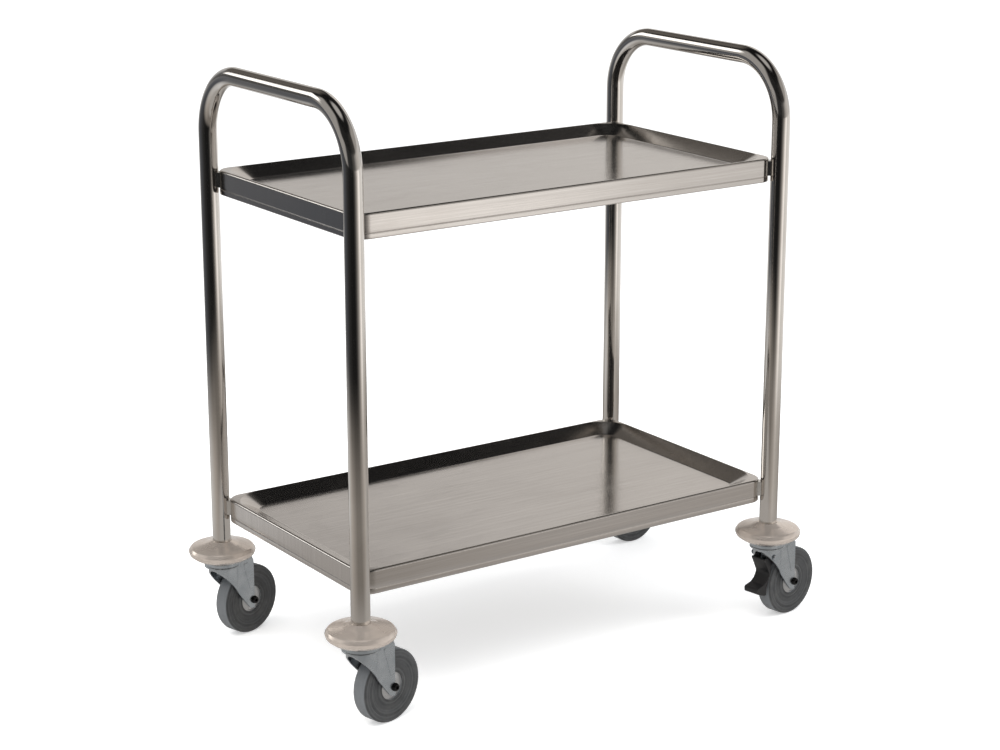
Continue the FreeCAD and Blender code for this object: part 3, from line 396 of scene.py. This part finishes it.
# ------------------------------------------------------------------ bumpers
def bumper_outline(bottom, top, rim_radius):
    """(z, radius[, fillet]) in mm: a flared cup that narrows to a collar round the leg."""
    tube = TUBE_RADIUS / MM
    return [
        (bottom, 5.0), (bottom, 31.0, 2.0), (bottom + 2.6, 38.5, 5.0), (bottom + 7.6, 45.4, 5.0),
        (bottom + 13.2, rim_radius, 3.6), (bottom + 18.6, 43.6, 5.0), (bottom + 23.0, 24.0, 14.0),
        (top - 0.3, 14.6, 0.6), (top, 14.1, 0.4), (top, tube + 0.12, 0.15),
        (top - 1.6, tube), (bottom + 4.0, tube), (bottom + 4.0, 5.0),
    ]


for name in CORNERS:
    low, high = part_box(name + "_bumper")
    outline = bumper_outline(low.z / MM, high.z / MM, (high.x - low.x) / 2 / MM)
    centre = ((low.x + high.x) / 2, (low.y + high.y) / 2, 0)
    cup = lathe(name + "_bumper_cup", outline, centre, (0, 0, 1), segments=112, fillet_steps=8)
    install(cup, "cart_frame", name + "_bumper", "bumper_plastic")


# ------------------------------------------------------------------ wheels
WEB_HALF = 5.5  # half the thickness of the hub's web, which fills a groove in the tyre's bore
# (along the axle, radius[, fillet]) in mm: one side face of the tyre, bore to shoulder
TYRE_FACE = [
    (-9.65, 18.6, 0.2), (-11.3, 18.9, 0.5), (-11.3, 22.4, 0.8), (-10.2, 24.4, 0.6),
    (-10.2, 32.6, 1.0), (-11.6, 35.6, 0.5), (-11.95, 36.6, 0.5), (-11.95, 40.6, 0.3),
    (-11.6, 41.0, 0.2), (-11.6, 41.5, 0.2), (-11.95, 41.9, 0.3),
]
TYRE_GROOVE = [(WEB_HALF, 18.6), (WEB_HALF, 37.0), (-WEB_HALF, 37.0), (-WEB_HALF, 18.6)]
# one side of the hub, from the axle hole out to the rim of the web
HUB_FACE = [
    (-12.8, 6.65, 0.2), (-12.8, 10.0, 0.8), (-11.8, 12.0, 1.5), (-9.6, 17.2, 1.2),
    (-9.6, 18.55), (-WEB_HALF, 18.55), (-WEB_HALF, 36.9),
]


def mirrored(half):
    return half + [(-point[0], *point[1:]) for point in reversed(half)]


for name in CORNERS:
    joint = JOINTS[name + "_roll"]
    centre, axis = joint["pos_m"], joint["axis"]
    low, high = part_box(name + "_tyre")
    shoulder = (-12.0, (high.z - low.z) / 2 / MM, 7.0)
    outline = mirrored(TYRE_FACE + [shoulder]) + TYRE_GROOVE
    tyre = lathe(name + "_tyre_ring", outline, centre, axis, segments=120, fillet_steps=7)
    install(tyre, name + "_wheel", name + "_tyre", "tyre_rubber")
    hub = lathe(name + "_hub_disc", mirrored(HUB_FACE), centre, axis,
                segments=96, fillet_steps=6)
    install(hub, name + "_wheel", name + "_wheel_hub", "hub_metal")


# ------------------------------------------------------------------ shader helpers
def turn(degrees):
    """-180..180 degrees as 0..1."""
    return (degrees + 180.0) / 360.0


class Graph:
    """Builds the node tree of a material or world."""

    def __init__(self, owner, output="ShaderNodeOutputMaterial"):
        self.owner = owner
        owner.use_nodes = True
        self.tree = owner.node_tree
        self.tree.nodes.clear()
        self.out = self.tree.nodes.new(output)

    def node(self, kind, inputs=None, **props):
        node = self.tree.nodes.new(kind)
        for key, value in props.items():
            setattr(node, key, value)
        for key, value in (inputs or {}).items():
            if isinstance(value, bpy.types.NodeSocket):
                self.tree.links.new(value, node.inputs[key])
            else:
                node.inputs[key].default_value = value
        return node

    def finish(self, shader):
        self.tree.links.new(shader, self.out.inputs["Surface"])
        return self.owner

    def math(self, op, a, b=0.0, clamp=False):
        inputs = {0: a, 1: b, 2: 0.0}
        return self.node("ShaderNodeMath", inputs, operation=op, use_clamp=clamp).outputs[0]

    def add(self, a, b):
        return self.math("ADD", a, b)

    def times(self, a, b):
        return self.math("MULTIPLY", a, b)

    def split(self, vector):
        return tuple(self.node("ShaderNodeSeparateXYZ", {0: vector}).outputs)

    def noise(self, vector, size=1.0, detail=3.0, rough=0.6, distort=0.0, stretch=None):
        """stretch scales the coordinates along each axis first."""
        if stretch:
            vector = self.node("ShaderNodeVectorMath", {0: vector, 1: stretch},
                               operation="MULTIPLY").outputs[0]
        inputs = {"Vector": vector, "Scale": size, "Detail": detail, "Roughness": rough,
                  "Distortion": distort}
        return self.node("ShaderNodeTexNoise", inputs).outputs["Fac"]

    def span(self, value, over=(0.3, 0.7), to=(0.0, 1.0), smooth=False):
        """Map the range over onto the range to, clamped."""
        inputs = {"Value": value, "From Min": over[0], "From Max": over[1],
                  "To Min": to[0], "To Max": to[1]}
        kind = "SMOOTHSTEP" if smooth else "LINEAR"
        return self.node("ShaderNodeMapRange", inputs, interpolation_type=kind).outputs["Result"]

    def window(self, value, rise, fall):
        """1 between two soft edges, 0 outside."""
        return self.times(self.span(value, rise, smooth=True),
                          self.span(value, fall, to=(1.0, 0.0), smooth=True))

    def blend(self, fac, a, b):
        return self.node("ShaderNodeMix", {0: fac, 6: a, 7: b}, data_type="RGBA",
                         clamp_factor=True).outputs[2]

    def blend_value(self, fac, a, b):
        return self.node("ShaderNodeMix", {0: fac, 2: a, 3: b}, data_type="FLOAT").outputs[0]

    def ramp(self, turns, stops):
        """Colour ramp over 0..1 turns, from (degrees, colour) stops."""
        node = self.node("ShaderNodeValToRGB", {0: turns})
        elements = node.color_ramp.elements
        while len(elements) > 1:
            elements.remove(elements[-1])
        elements[0].position, elements[0].color = turn(stops[0][0]), stops[0][1]
        for degrees, color in stops[1:]:
            elements.new(turn(degrees)).color = color
        return node.outputs[0]

    def bump(self, height, strength, distance, normal=None):
        inputs = {"Height": height, "Strength": strength, "Distance": distance}
        if normal is not None:
            inputs["Normal"] = normal
        return self.node("ShaderNodeBump", inputs).outputs["Normal"]

    def coords(self, kind="Object"):
        return self.node("ShaderNodeTexCoord").outputs[kind]

    def edge(self, radius, gain):
        """(wear, soft normal): wear is bright where the rounded normal leaves the face's own."""
        soft = self.node("ShaderNodeBevel", {"Radius": radius}, samples=4).outputs[0]
        face = self.node("ShaderNodeNewGeometry").outputs["Normal"]
        dot = self.node("ShaderNodeVectorMath", {0: soft, 1: face}, operation="DOT_PRODUCT")
        off = self.math("SUBTRACT", 1.0, dot.outputs["Value"])
        return self.math("MULTIPLY", off, gain, clamp=True), soft

    def mix_shader(self, fac, a, b):
        return self.node("ShaderNodeMixShader", {0: fac, 1: a, 2: b}).outputs[0]

    def surface(self, **inputs):
        """Finish with a principled shader and return the material."""
        names = {
            "color": "Base Color", "metal": "Metallic", "rough": "Roughness", "normal": "Normal",
            "coat": "Coat Weight", "coat_rough": "Coat Roughness", "spec": "Specular IOR Level",
        }
        inputs = {names[key]: value for key, value in inputs.items()}
        return self.finish(self.node("ShaderNodeBsdfPrincipled", inputs).outputs[0])


def material_graph(name):
    return Graph(bpy.data.materials.new(name))


def rgb(r, g, b):
    """sRGB bytes to a linear colour."""
    def linear(c):
        c /= 255.0
        return c / 12.92 if c <= 0.04045 else ((c + 0.055) / 1.055) ** 2.4
    return (linear(r), linear(g), linear(b), 1.0)


def darker(color, factor):
    return tuple(c * factor for c in color[:3]) + (1.0,)


def grey(value, warm=0.0):
    return (value * (1 + warm), value, value * (1 - warm), 1.0)


# ------------------------------------------------------------------ materials
def tube_material():
    g = material_graph("polished tube")
    uv = g.coords("UV")
    obj = g.coords()
    # polishing lines, smears, broad clouding and slow waves
    lines = g.noise(uv, stretch=(5200.0, 26.0, 1.0), detail=2.0)
    smear = g.noise(uv, stretch=(60.0, 14.0, 1.0), detail=4.0)
    cloud = g.noise(obj, size=9.0, detail=5.0)
    wave = g.noise(uv, stretch=(12.0, 9.0, 1.0), detail=1.0, rough=0.4)
    rough = g.add(g.span(smear, (0.3, 0.75), to=(0.045, 0.11)), g.span(lines, to=(-0.012, 0.03)))
    rough = g.add(rough, g.span(cloud, (0.5, 0.8), to=(0.0, 0.05)))
    color = g.blend(g.span(cloud), rgb(231, 227, 222), rgb(216, 211, 205))
    normal = g.bump(wave, strength=0.35, distance=0.0006)
    normal = g.bump(lines, strength=0.10, distance=0.00002, normal=normal)
    return g.surface(color=color, metal=1.0, rough=rough, normal=normal)


def tray_material():
    g = material_graph("brushed tray sheet")
    obj = g.coords()
    _, normal_y, normal_z = g.split(g.node("ShaderNodeNewGeometry").outputs["Normal"])
    facing_y = g.math("ABSOLUTE", normal_y)
    facing_z = g.math("ABSOLUTE", normal_z)
    skirt = g.times(g.span(facing_y, (0.6, 0.75)), g.span(facing_z, (0.5, 0.7), to=(1.0, 0.0)))

    def brushed(along, across, detail, rough):
        """Streaks along X, packed across Y on flat faces and across Z on the long skirts."""
        flat = g.noise(obj, stretch=(along, across, along), detail=detail, rough=rough)
        side = g.noise(obj, stretch=(along, along, across), detail=detail, rough=rough)
        return g.blend_value(skirt, flat, side)

    grain = brushed(along=14.0, across=2600.0, detail=3.0, rough=0.65)
    band = brushed(along=3.0, across=420.0, detail=2.0, rough=0.5)
    cloud = g.noise(obj, size=6.0, detail=6.0, distort=0.3)
    wipe = g.noise(obj, stretch=(9.0, 26.0, 26.0), detail=5.0, rough=0.62, distort=0.6)
    wave = g.noise(obj, size=7.0, detail=1.0, rough=0.4)
    rough = g.add(g.span(cloud, (0.3, 0.75), to=(0.115, 0.175)), g.span(grain, to=(-0.02, 0.05)))
    rough = g.add(rough, g.span(wipe, (0.52, 0.75), to=(0.0, 0.05)))
    color = g.blend(g.span(grain), rgb(222, 218, 214), rgb(205, 200, 195))
    color = g.blend(g.span(band, (0.35, 0.65), to=(0.0, 0.35)), color, rgb(196, 191, 187))
    color = g.blend(g.span(cloud, (0.55, 0.8), to=(0.0, 0.3)), color, rgb(200, 192, 184))
    worn, soft = g.edge(radius=0.0009, gain=5.0)
    color = g.blend(g.times(worn, 0.5), color, rgb(238, 236, 232))
    normal = g.bump(wave, strength=0.5, distance=0.0008, normal=soft)
    normal = g.bump(grain, strength=0.16, distance=0.00004, normal=normal)
    return g.surface(color=color, metal=1.0, rough=rough, normal=normal)


def plated_material(name, base, dark, rough_range, wear):
    """Mottled bright metal. wear is how far edges are rubbed bright."""
    g = material_graph(name)
    obj = g.coords()
    mottle = g.node("ShaderNodeTexVoronoi", {"Vector": obj, "Scale": 900.0, "Randomness": 1.0})
    cloud = g.noise(obj, size=55.0, detail=5.0)
    fine = g.noise(obj, size=1400.0)
    rough = g.add(g.span(cloud, to=rough_range), g.span(fine, to=(-0.03, 0.05)))
    color = g.blend(g.span(cloud), base, dark)
    cells = g.node("ShaderNodeSeparateColor", {0: mottle.outputs["Color"]}).outputs[0]
    color = g.blend(g.times(cells, 0.18), color, rgb(226, 232, 238))
    worn, soft = g.edge(radius=0.0007, gain=7.0)
    broken = g.times(worn, g.span(g.noise(obj, size=260.0), (0.35, 0.6), to=(0.25, 1.0)))
    color = g.blend(g.times(broken, wear), color, rgb(232, 234, 236))
    normal = g.bump(fine, strength=0.22, distance=0.00006, normal=soft)
    normal = g.bump(cloud, strength=0.15, distance=0.0004, normal=normal)
    return g.surface(color=color, metal=1.0, rough=rough, normal=normal)


def bumper_material():
    g = material_graph("bumper greige")
    obj = g.coords()
    cloud = g.noise(obj, size=34.0, detail=5.0, distort=0.2)
    fine = g.noise(obj, size=900.0)
    swirl = g.noise(g.coords("UV"), stretch=(30.0, 900.0, 1.0), detail=2.0, rough=0.5)
    rough = g.add(g.span(cloud, to=(0.16, 0.27)), g.span(swirl, to=(-0.02, 0.03)))
    color = g.blend(g.span(cloud, (0.32, 0.7)), rgb(232, 220, 209), rgb(214, 202, 192))
    scuff = g.noise(obj, size=120.0, detail=6.0, rough=0.7)
    color = g.blend(g.span(scuff, (0.62, 0.74), to=(0.0, 0.5)), color, rgb(186, 176, 168))
    normal = g.bump(fine, strength=0.10, distance=0.00005)
    normal = g.bump(cloud, strength=0.12, distance=0.0005, normal=normal)
    return g.surface(color=color, metal=0.70, rough=rough, normal=normal, spec=0.6,
                     coat=0.25, coat_rough=0.12)


def rubber_material():
    g = material_graph("tyre rubber")
    obj = g.coords()
    uv = g.coords("UV")
    cloud = g.noise(obj, size=70.0, detail=5.0)
    fine = g.noise(obj, size=1700.0, detail=4.0, rough=0.65)
    scuff = g.noise(uv, stretch=(40.0, 260.0, 1.0), detail=6.0, rough=0.7)
    dust = g.span(g.noise(obj, size=38.0, detail=6.0, rough=0.68), (0.48, 0.74))
    color = g.blend(g.span(cloud), rgb(62, 63, 64), rgb(49, 50, 51))
    color = g.blend(g.times(dust, 0.35), color, rgb(104, 102, 98))
    rings = g.noise(uv, stretch=(0.0, 300.0, 0.0), detail=1.0, rough=0.4)
    color = g.blend(g.span(rings, (0.42, 0.62), to=(0.0, 0.5)), color, rgb(88, 89, 90))
    # painted sheen: the tread is painted lighter all round in place of the pale floor's
    # reflection at grazing angles, and the scuffs break it up
    _, facing_y, _ = g.split(g.coords("Normal"))
    painted_tread_sheen = g.span(g.math("ABSOLUTE", facing_y), (0.35, 0.80), to=(1.0, 0.0), smooth=True)
    # worn here carries the painted tread sheen, patchy where the scuffs break it
    worn = g.times(painted_tread_sheen, g.span(scuff, to=(0.70, 1.0)))
    color = g.blend(worn, color, rgb(112, 115, 118))
    color = g.blend(g.span(scuff, (0.6, 0.8), to=(0.0, 0.35)), color, rgb(120, 118, 114))
    rough = g.add(g.span(cloud, to=(0.38, 0.5)), g.span(scuff, (0.4, 0.8), to=(0.0, 0.16)))
    normal = g.bump(fine, strength=0.25, distance=0.00008)
    normal = g.bump(scuff, strength=0.12, distance=0.0002, normal=normal)
    return g.surface(color=color, rough=rough, normal=normal, spec=0.55)


def hub_material():
    g = material_graph("hub disc")
    obj = g.coords()
    cloud = g.noise(obj, size=60.0, detail=4.0)
    ring = g.noise(g.coords("UV"), stretch=(16.0, 2400.0, 1.0))
    color = g.blend(g.span(cloud), rgb(208, 208, 208), rgb(184, 185, 186))
    color = g.blend(g.span(ring, (0.35, 0.7), to=(0.0, 0.3)), color, rgb(226, 226, 226))
    rough = g.add(g.span(cloud, to=(0.26, 0.38)), g.span(ring, to=(-0.03, 0.06)))
    normal = g.bump(ring, strength=0.15, distance=0.00006)
    normal = g.bump(cloud, strength=0.15, distance=0.0004, normal=normal)
    return g.surface(color=color, metal=0.9, rough=rough, normal=normal)


def moulded_material(name, base, worn_color, rough_range):
    """Pebbled plastic with broken wear along its edges."""
    g = material_graph(name)
    obj = g.coords()
    cloud = g.noise(obj, size=80.0, detail=4.0)
    pebble = g.node("ShaderNodeTexVoronoi", {"Vector": obj, "Scale": 1500.0},
                    feature="SMOOTH_F1").outputs["Distance"]
    fine = g.noise(obj, size=1200.0)
    color = g.blend(g.span(cloud, to=(0.0, 0.6)), base, darker(base, 0.75))
    worn, soft = g.edge(radius=0.0008, gain=7.0)
    patches = g.noise(obj, size=300.0, detail=4.0, rough=0.65)
    broken = g.times(worn, g.span(patches, (0.4, 0.6)))
    color = g.blend(g.times(broken, 0.5), color, worn_color)
    rough = g.add(g.span(cloud, to=rough_range), g.span(fine, to=(-0.04, 0.05)))
    normal = g.bump(pebble, strength=0.3, distance=0.00006, normal=soft)
    return g.surface(color=color, rough=rough, normal=normal, spec=0.5)


def fastener_material():
    g = material_graph("blackened fastener")
    base = rgb(58, 57, 58)
    obj = g.coords()
    cloud = g.noise(obj, size=180.0, detail=4.0)
    fine = g.noise(obj, size=2200.0)
    color = g.blend(g.span(cloud), base, darker(base, 0.7))
    worn, soft = g.edge(radius=0.0004, gain=7.0)
    color = g.blend(g.times(worn, 0.6), color, rgb(150, 150, 152))
    rough = g.add(g.span(cloud, to=(0.22, 0.36)), g.span(fine, to=(-0.03, 0.05)))
    normal = g.bump(fine, strength=0.2, distance=0.00004, normal=soft)
    return g.surface(color=color, metal=1.0, rough=rough, normal=normal)


MATERIALS = {
    "polished_tube": tube_material(),
    "tray_sheet": tray_material(),
    "zinc_plate": plated_material(
        "zinc plate", base=rgb(206, 212, 217), dark=rgb(180, 188, 194),
        rough_range=(0.20, 0.34), wear=0.6),
    "bearing_steel": plated_material(
        "bearing steel", base=rgb(212, 212, 212), dark=rgb(196, 196, 196),
        rough_range=(0.08, 0.16), wear=0.2),
    "dark_fastener": fastener_material(),
    "hub_metal": hub_material(),
    "tyre_rubber": rubber_material(),
    "bumper_plastic": bumper_material(),
    "black_plastic": moulded_material(
        "black moulded", base=rgb(30, 30, 31), worn_color=rgb(96, 95, 94),
        rough_range=(0.32, 0.48)),
    "spacer_metal": plated_material(
        "spacer turned", base=rgb(226, 224, 220), dark=rgb(206, 204, 200),
        rough_range=(0.14, 0.24), wear=0.3),
    "bearing_plastic": moulded_material(
        "bearing moulded", base=rgb(206, 202, 192), worn_color=rgb(230, 226, 218),
        rough_range=(0.4, 0.55)),
}


def set_material(ob, key):
    ob.data.materials.clear()
    ob.data.materials.append(MATERIALS[key])


for ob, slot in looks:
    set_material(ob, slot)
# the CAD pieces still showing take the material named by their first slot
for name, ob in NODES.items():
    if ob.hide_render:
        continue
    slot = ob.material_slots[0].material.name.split(".")[0] if ob.material_slots else ""
    if slot not in MATERIALS:
        raise RuntimeError("no material for %s (%s)" % (name, slot))
    set_material(ob, slot)


# ------------------------------------------------------------------ floor and studio
CAMERA_PLACE = Vector((-1.7790, -2.5898, 1.2691))
CAMERA_LOOK = Vector((0.54546525, 0.79254588, -0.27265124))
FORWARD = Vector((CAMERA_LOOK.x, CAMERA_LOOK.y, 0)).normalized()
RIGHT = Vector((FORWARD.y, -FORWARD.x, 0))

# What reflections see, as (degrees, colour) stops round the cart. 0 is toward the camera,
# positive is to its right, and +-180 is straight away from it.
FLOOR_FAR = [
    (-180, grey(0.95)), (-150, grey(0.75)), (-128, grey(0.25)), (-110, (0.097, 0.103, 0.116, 1)),
    (-60, grey(0.03)), (-30, grey(0.012)), (0, grey(0.012)), (14, grey(0.05, 0.05)),
    (35, grey(0.30, 0.06)), (50, grey(0.75, 0.05)), (59, grey(1.12, 0.03)),
    (67, grey(1.12, 0.03)), (73, grey(0.80, 0.03)), (80, grey(0.74, 0.03)),
    (100, grey(0.8, 0.03)), (140, grey(0.95)), (180, grey(0.95)),
]
FLOOR_NEAR = [
    (-180, grey(0.16, 0.06)), (-140, grey(0.40, 0.05)), (-112, grey(0.66)),
    (-60, grey(0.40, 0.08)), (-20, grey(0.20, 0.09)), (10, grey(0.20, 0.09)),
    (45, grey(0.38, 0.08)), (62, grey(0.50, 0.06)), (80, grey(0.44, 0.06)),
    (140, grey(0.28, 0.06)), (180, grey(0.16, 0.06)),
]
WALL_LOW = [
    (-180, grey(0.62, 0.04)), (-170, grey(0.56, 0.04)), (-150, grey(0.50)), (-132, grey(0.12)),
    (-114, grey(0.08)), (-104, grey(0.36, 0.03)), (-50, grey(0.34, 0.03)), (-36, grey(0.03)),
    (0, grey(0.02)), (30, grey(0.10, 0.05)), (60, grey(0.45, 0.05)), (90, grey(0.6, 0.04)),
    (130, grey(0.62)), (150, grey(0.64, 0.02)), (168, grey(0.70, 0.05)), (180, grey(0.62, 0.04)),
]
WALL_HIGH = [
    (-180, grey(0.03)), (-165, grey(0.10, 0.1)), (-140, grey(0.12, 0.1)), (-125, grey(0.02)),
    (-116, grey(0.02)), (-109, grey(0.36, 0.03)), (-66, grey(0.36, 0.03)), (-52, grey(0.02)),
    (0, grey(0.012)), (54, grey(0.05, 0.06)), (70, grey(0.34, 0.05)), (116, grey(0.34, 0.05)),
    (132, grey(0.06, 0.06)), (150, grey(0.05, 0.06)), (180, grey(0.03)),
]
# elevation where the low wall gives way to the high one, as a share of 90 degrees
WALL_SPLIT = [
    (-180, grey(24 / 90)), (-165, grey(20.5 / 90)), (-90, grey(20.5 / 90)), (90, grey(20.5 / 90)),
    (125, grey(26 / 90)), (145, grey(38 / 90)), (172, grey(38 / 90)), (179, grey(25 / 90)),
]


def bearing(g, x, y):
    """Direction round the cart as 0..1 turns, for the stops above."""
    right = g.add(g.times(x, RIGHT.x), g.times(y, RIGHT.y))
    nearer = g.add(g.times(x, -FORWARD.x), g.times(y, -FORWARD.y))
    return g.span(g.math("ARCTAN2", right, nearer), (-math.pi, math.pi))


def floor_material():
    g = material_graph("studio floor")
    position = g.node("ShaderNodeNewGeometry").outputs["Position"]
    x, y, _ = g.split(position)
    turns = bearing(g, x, y)
    far = g.ramp(turns, FLOOR_FAR)
    near = g.ramp(turns, FLOOR_NEAR)
    # distance in plan from the rectangle of the four legs
    beyond_x = g.math("MAXIMUM", g.math("SUBTRACT", g.math("ABSOLUTE", x), LEG_X), 0.0)
    beyond_y = g.math("MAXIMUM", g.math("SUBTRACT", g.math("ABSOLUTE", y), LEG_Y), 0.0)
    distance = g.math("SQRT", g.add(g.times(beyond_x, beyond_x), g.times(beyond_y, beyond_y)))
    seen = g.blend(g.span(distance, (0.75, 1.7), smooth=True), near, far)
    # an even pale tone under and close round the wheels
    seen = g.blend(g.span(distance, (0.28, 0.55), smooth=True), grey(0.42, 0.04), seen)
    glow = g.node("ShaderNodeEmission", {"Color": seen, "Strength": 1.0}).outputs[0]
    speck = g.noise(position, size=60.0, detail=4.0)
    paper = g.blend(g.span(speck), (0.93, 0.93, 0.93, 1), (0.91, 0.91, 0.91, 1))
    pale = g.node("ShaderNodeBsdfDiffuse", {"Color": paper}).outputs[0]
    path = g.node("ShaderNodeLightPath").outputs
    # the camera sees the paper lifted toward white
    lift = g.node("ShaderNodeEmission", {
        "Color": (1.0, 1.0, 1.0, 1.0), "Strength": g.times(path["Is Camera Ray"], 0.42),
    }).outputs[0]
    lit = g.node("ShaderNodeAddShader", {0: pale, 1: lift}).outputs[0]
    return g.finish(g.mix_shader(path["Is Glossy Ray"], lit, glow))


def make_floor():
    bm = bmesh.new()
    bmesh.ops.create_grid(bm, x_segments=2, y_segments=2, size=30.0)
    mesh = bpy.data.meshes.new("studio_floor")
    bm.to_mesh(mesh)
    bm.free()
    ob = bpy.data.objects.new("studio_floor", mesh)
    bpy.context.scene.collection.objects.link(ob)
    mesh.materials.append(floor_material())
    ob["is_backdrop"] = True


def make_world():
    """Separate surroundings for reflections, for the camera and for soft light."""
    world = bpy.data.worlds.new("studio")
    bpy.context.scene.world = world
    g = Graph(world, "ShaderNodeOutputWorld")
    x, y, z = g.split(g.coords("Generated"))
    turns = bearing(g, x, y)
    elevation = g.math("ARCSINE", z)

    def elevations(low, high):
        return math.radians(low), math.radians(high)

    low = g.ramp(turns, WALL_LOW)
    high = g.ramp(turns, WALL_HIGH)
    split = g.times(g.ramp(turns, WALL_SPLIT), math.pi / 2)
    above = g.math("SUBTRACT", elevation, split)
    color = g.blend(g.span(above, elevations(-3.0, 3.5), smooth=True), low, high)
    # a bright soft window to the left, beyond the cart
    across = g.window(turns, rise=(turn(-131), turn(-124)), fall=(turn(-108), turn(-101)))
    upright = g.window(elevation, rise=elevations(11, 14), fall=elevations(28, 32))
    color = g.blend(g.times(across, upright), color, (1.9, 1.88, 1.84, 1.0))
    # the dark ceiling, then a pale patch straight overhead
    color = g.blend(g.span(elevation, elevations(42, 56), smooth=True), color, grey(0.008))
    color = g.blend(g.span(elevation, elevations(68, 80), smooth=True), color, grey(0.45, 0.02))

    def background(color, strength):
        inputs = {"Color": color, "Strength": strength}
        return g.node("ShaderNodeBackground", inputs).outputs[0]

    path = g.node("ShaderNodeLightPath").outputs
    soft = background((0.97, 0.985, 1.0, 1.0), strength=0.80)
    white = background((1.0, 1.0, 1.0, 1.0), strength=1.0)
    glossy = background(color, strength=1.0)
    unseen = g.mix_shader(path["Is Glossy Ray"], soft, glossy)
    g.finish(g.mix_shader(path["Is Camera Ray"], unseen, white))


def softbox(name, place, aim, size, power, color):
    """Square area lamp, hidden from the camera and from reflections."""
    lamp = bpy.data.lights.new(name, "AREA")
    lamp.shape = "RECTANGLE"
    lamp.size = size
    lamp.size_y = size
    lamp.energy = power
    lamp.color = color
    ob = bpy.data.objects.new(name, lamp)
    ob.location = place
    ob.rotation_mode = "QUATERNION"
    ob.rotation_quaternion = (Vector(aim) - Vector(place)).to_track_quat("-Z", "Y")
    bpy.context.scene.collection.objects.link(ob)
    ob.visible_glossy = False
    ob.visible_camera = False
    ob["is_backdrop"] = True


def make_camera():
    data = bpy.data.cameras.new("camera")
    data.lens = 84.18
    data.sensor_width = 36.0
    data.clip_start = 0.05
    data.clip_end = 100.0
    camera = bpy.data.objects.new("camera", data)
    back = -CAMERA_LOOK.normalized()
    side = Vector((0, 0, 1)).cross(back).normalized()
    rotation = Matrix((side, back.cross(side), back)).transposed()
    camera.matrix_world = Matrix.Translation(CAMERA_PLACE) @ rotation.to_4x4()
    bpy.context.scene.collection.objects.link(camera)
    bpy.context.scene.camera = camera


make_floor()
make_world()
softbox("key_softbox", place=(-1.5, -0.6, 3.0), aim=(0, 0, 0.3), size=2.4, power=90.0,
        color=(1.0, 0.985, 0.96))
softbox("fill_softbox", place=(2.2, -1.8, 2.2), aim=(0, 0, 0.4), size=1.8, power=35.0,
        color=(0.97, 0.985, 1.0))
make_camera()
bpy.context.scene.view_settings.view_transform = "Standard"

low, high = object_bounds()
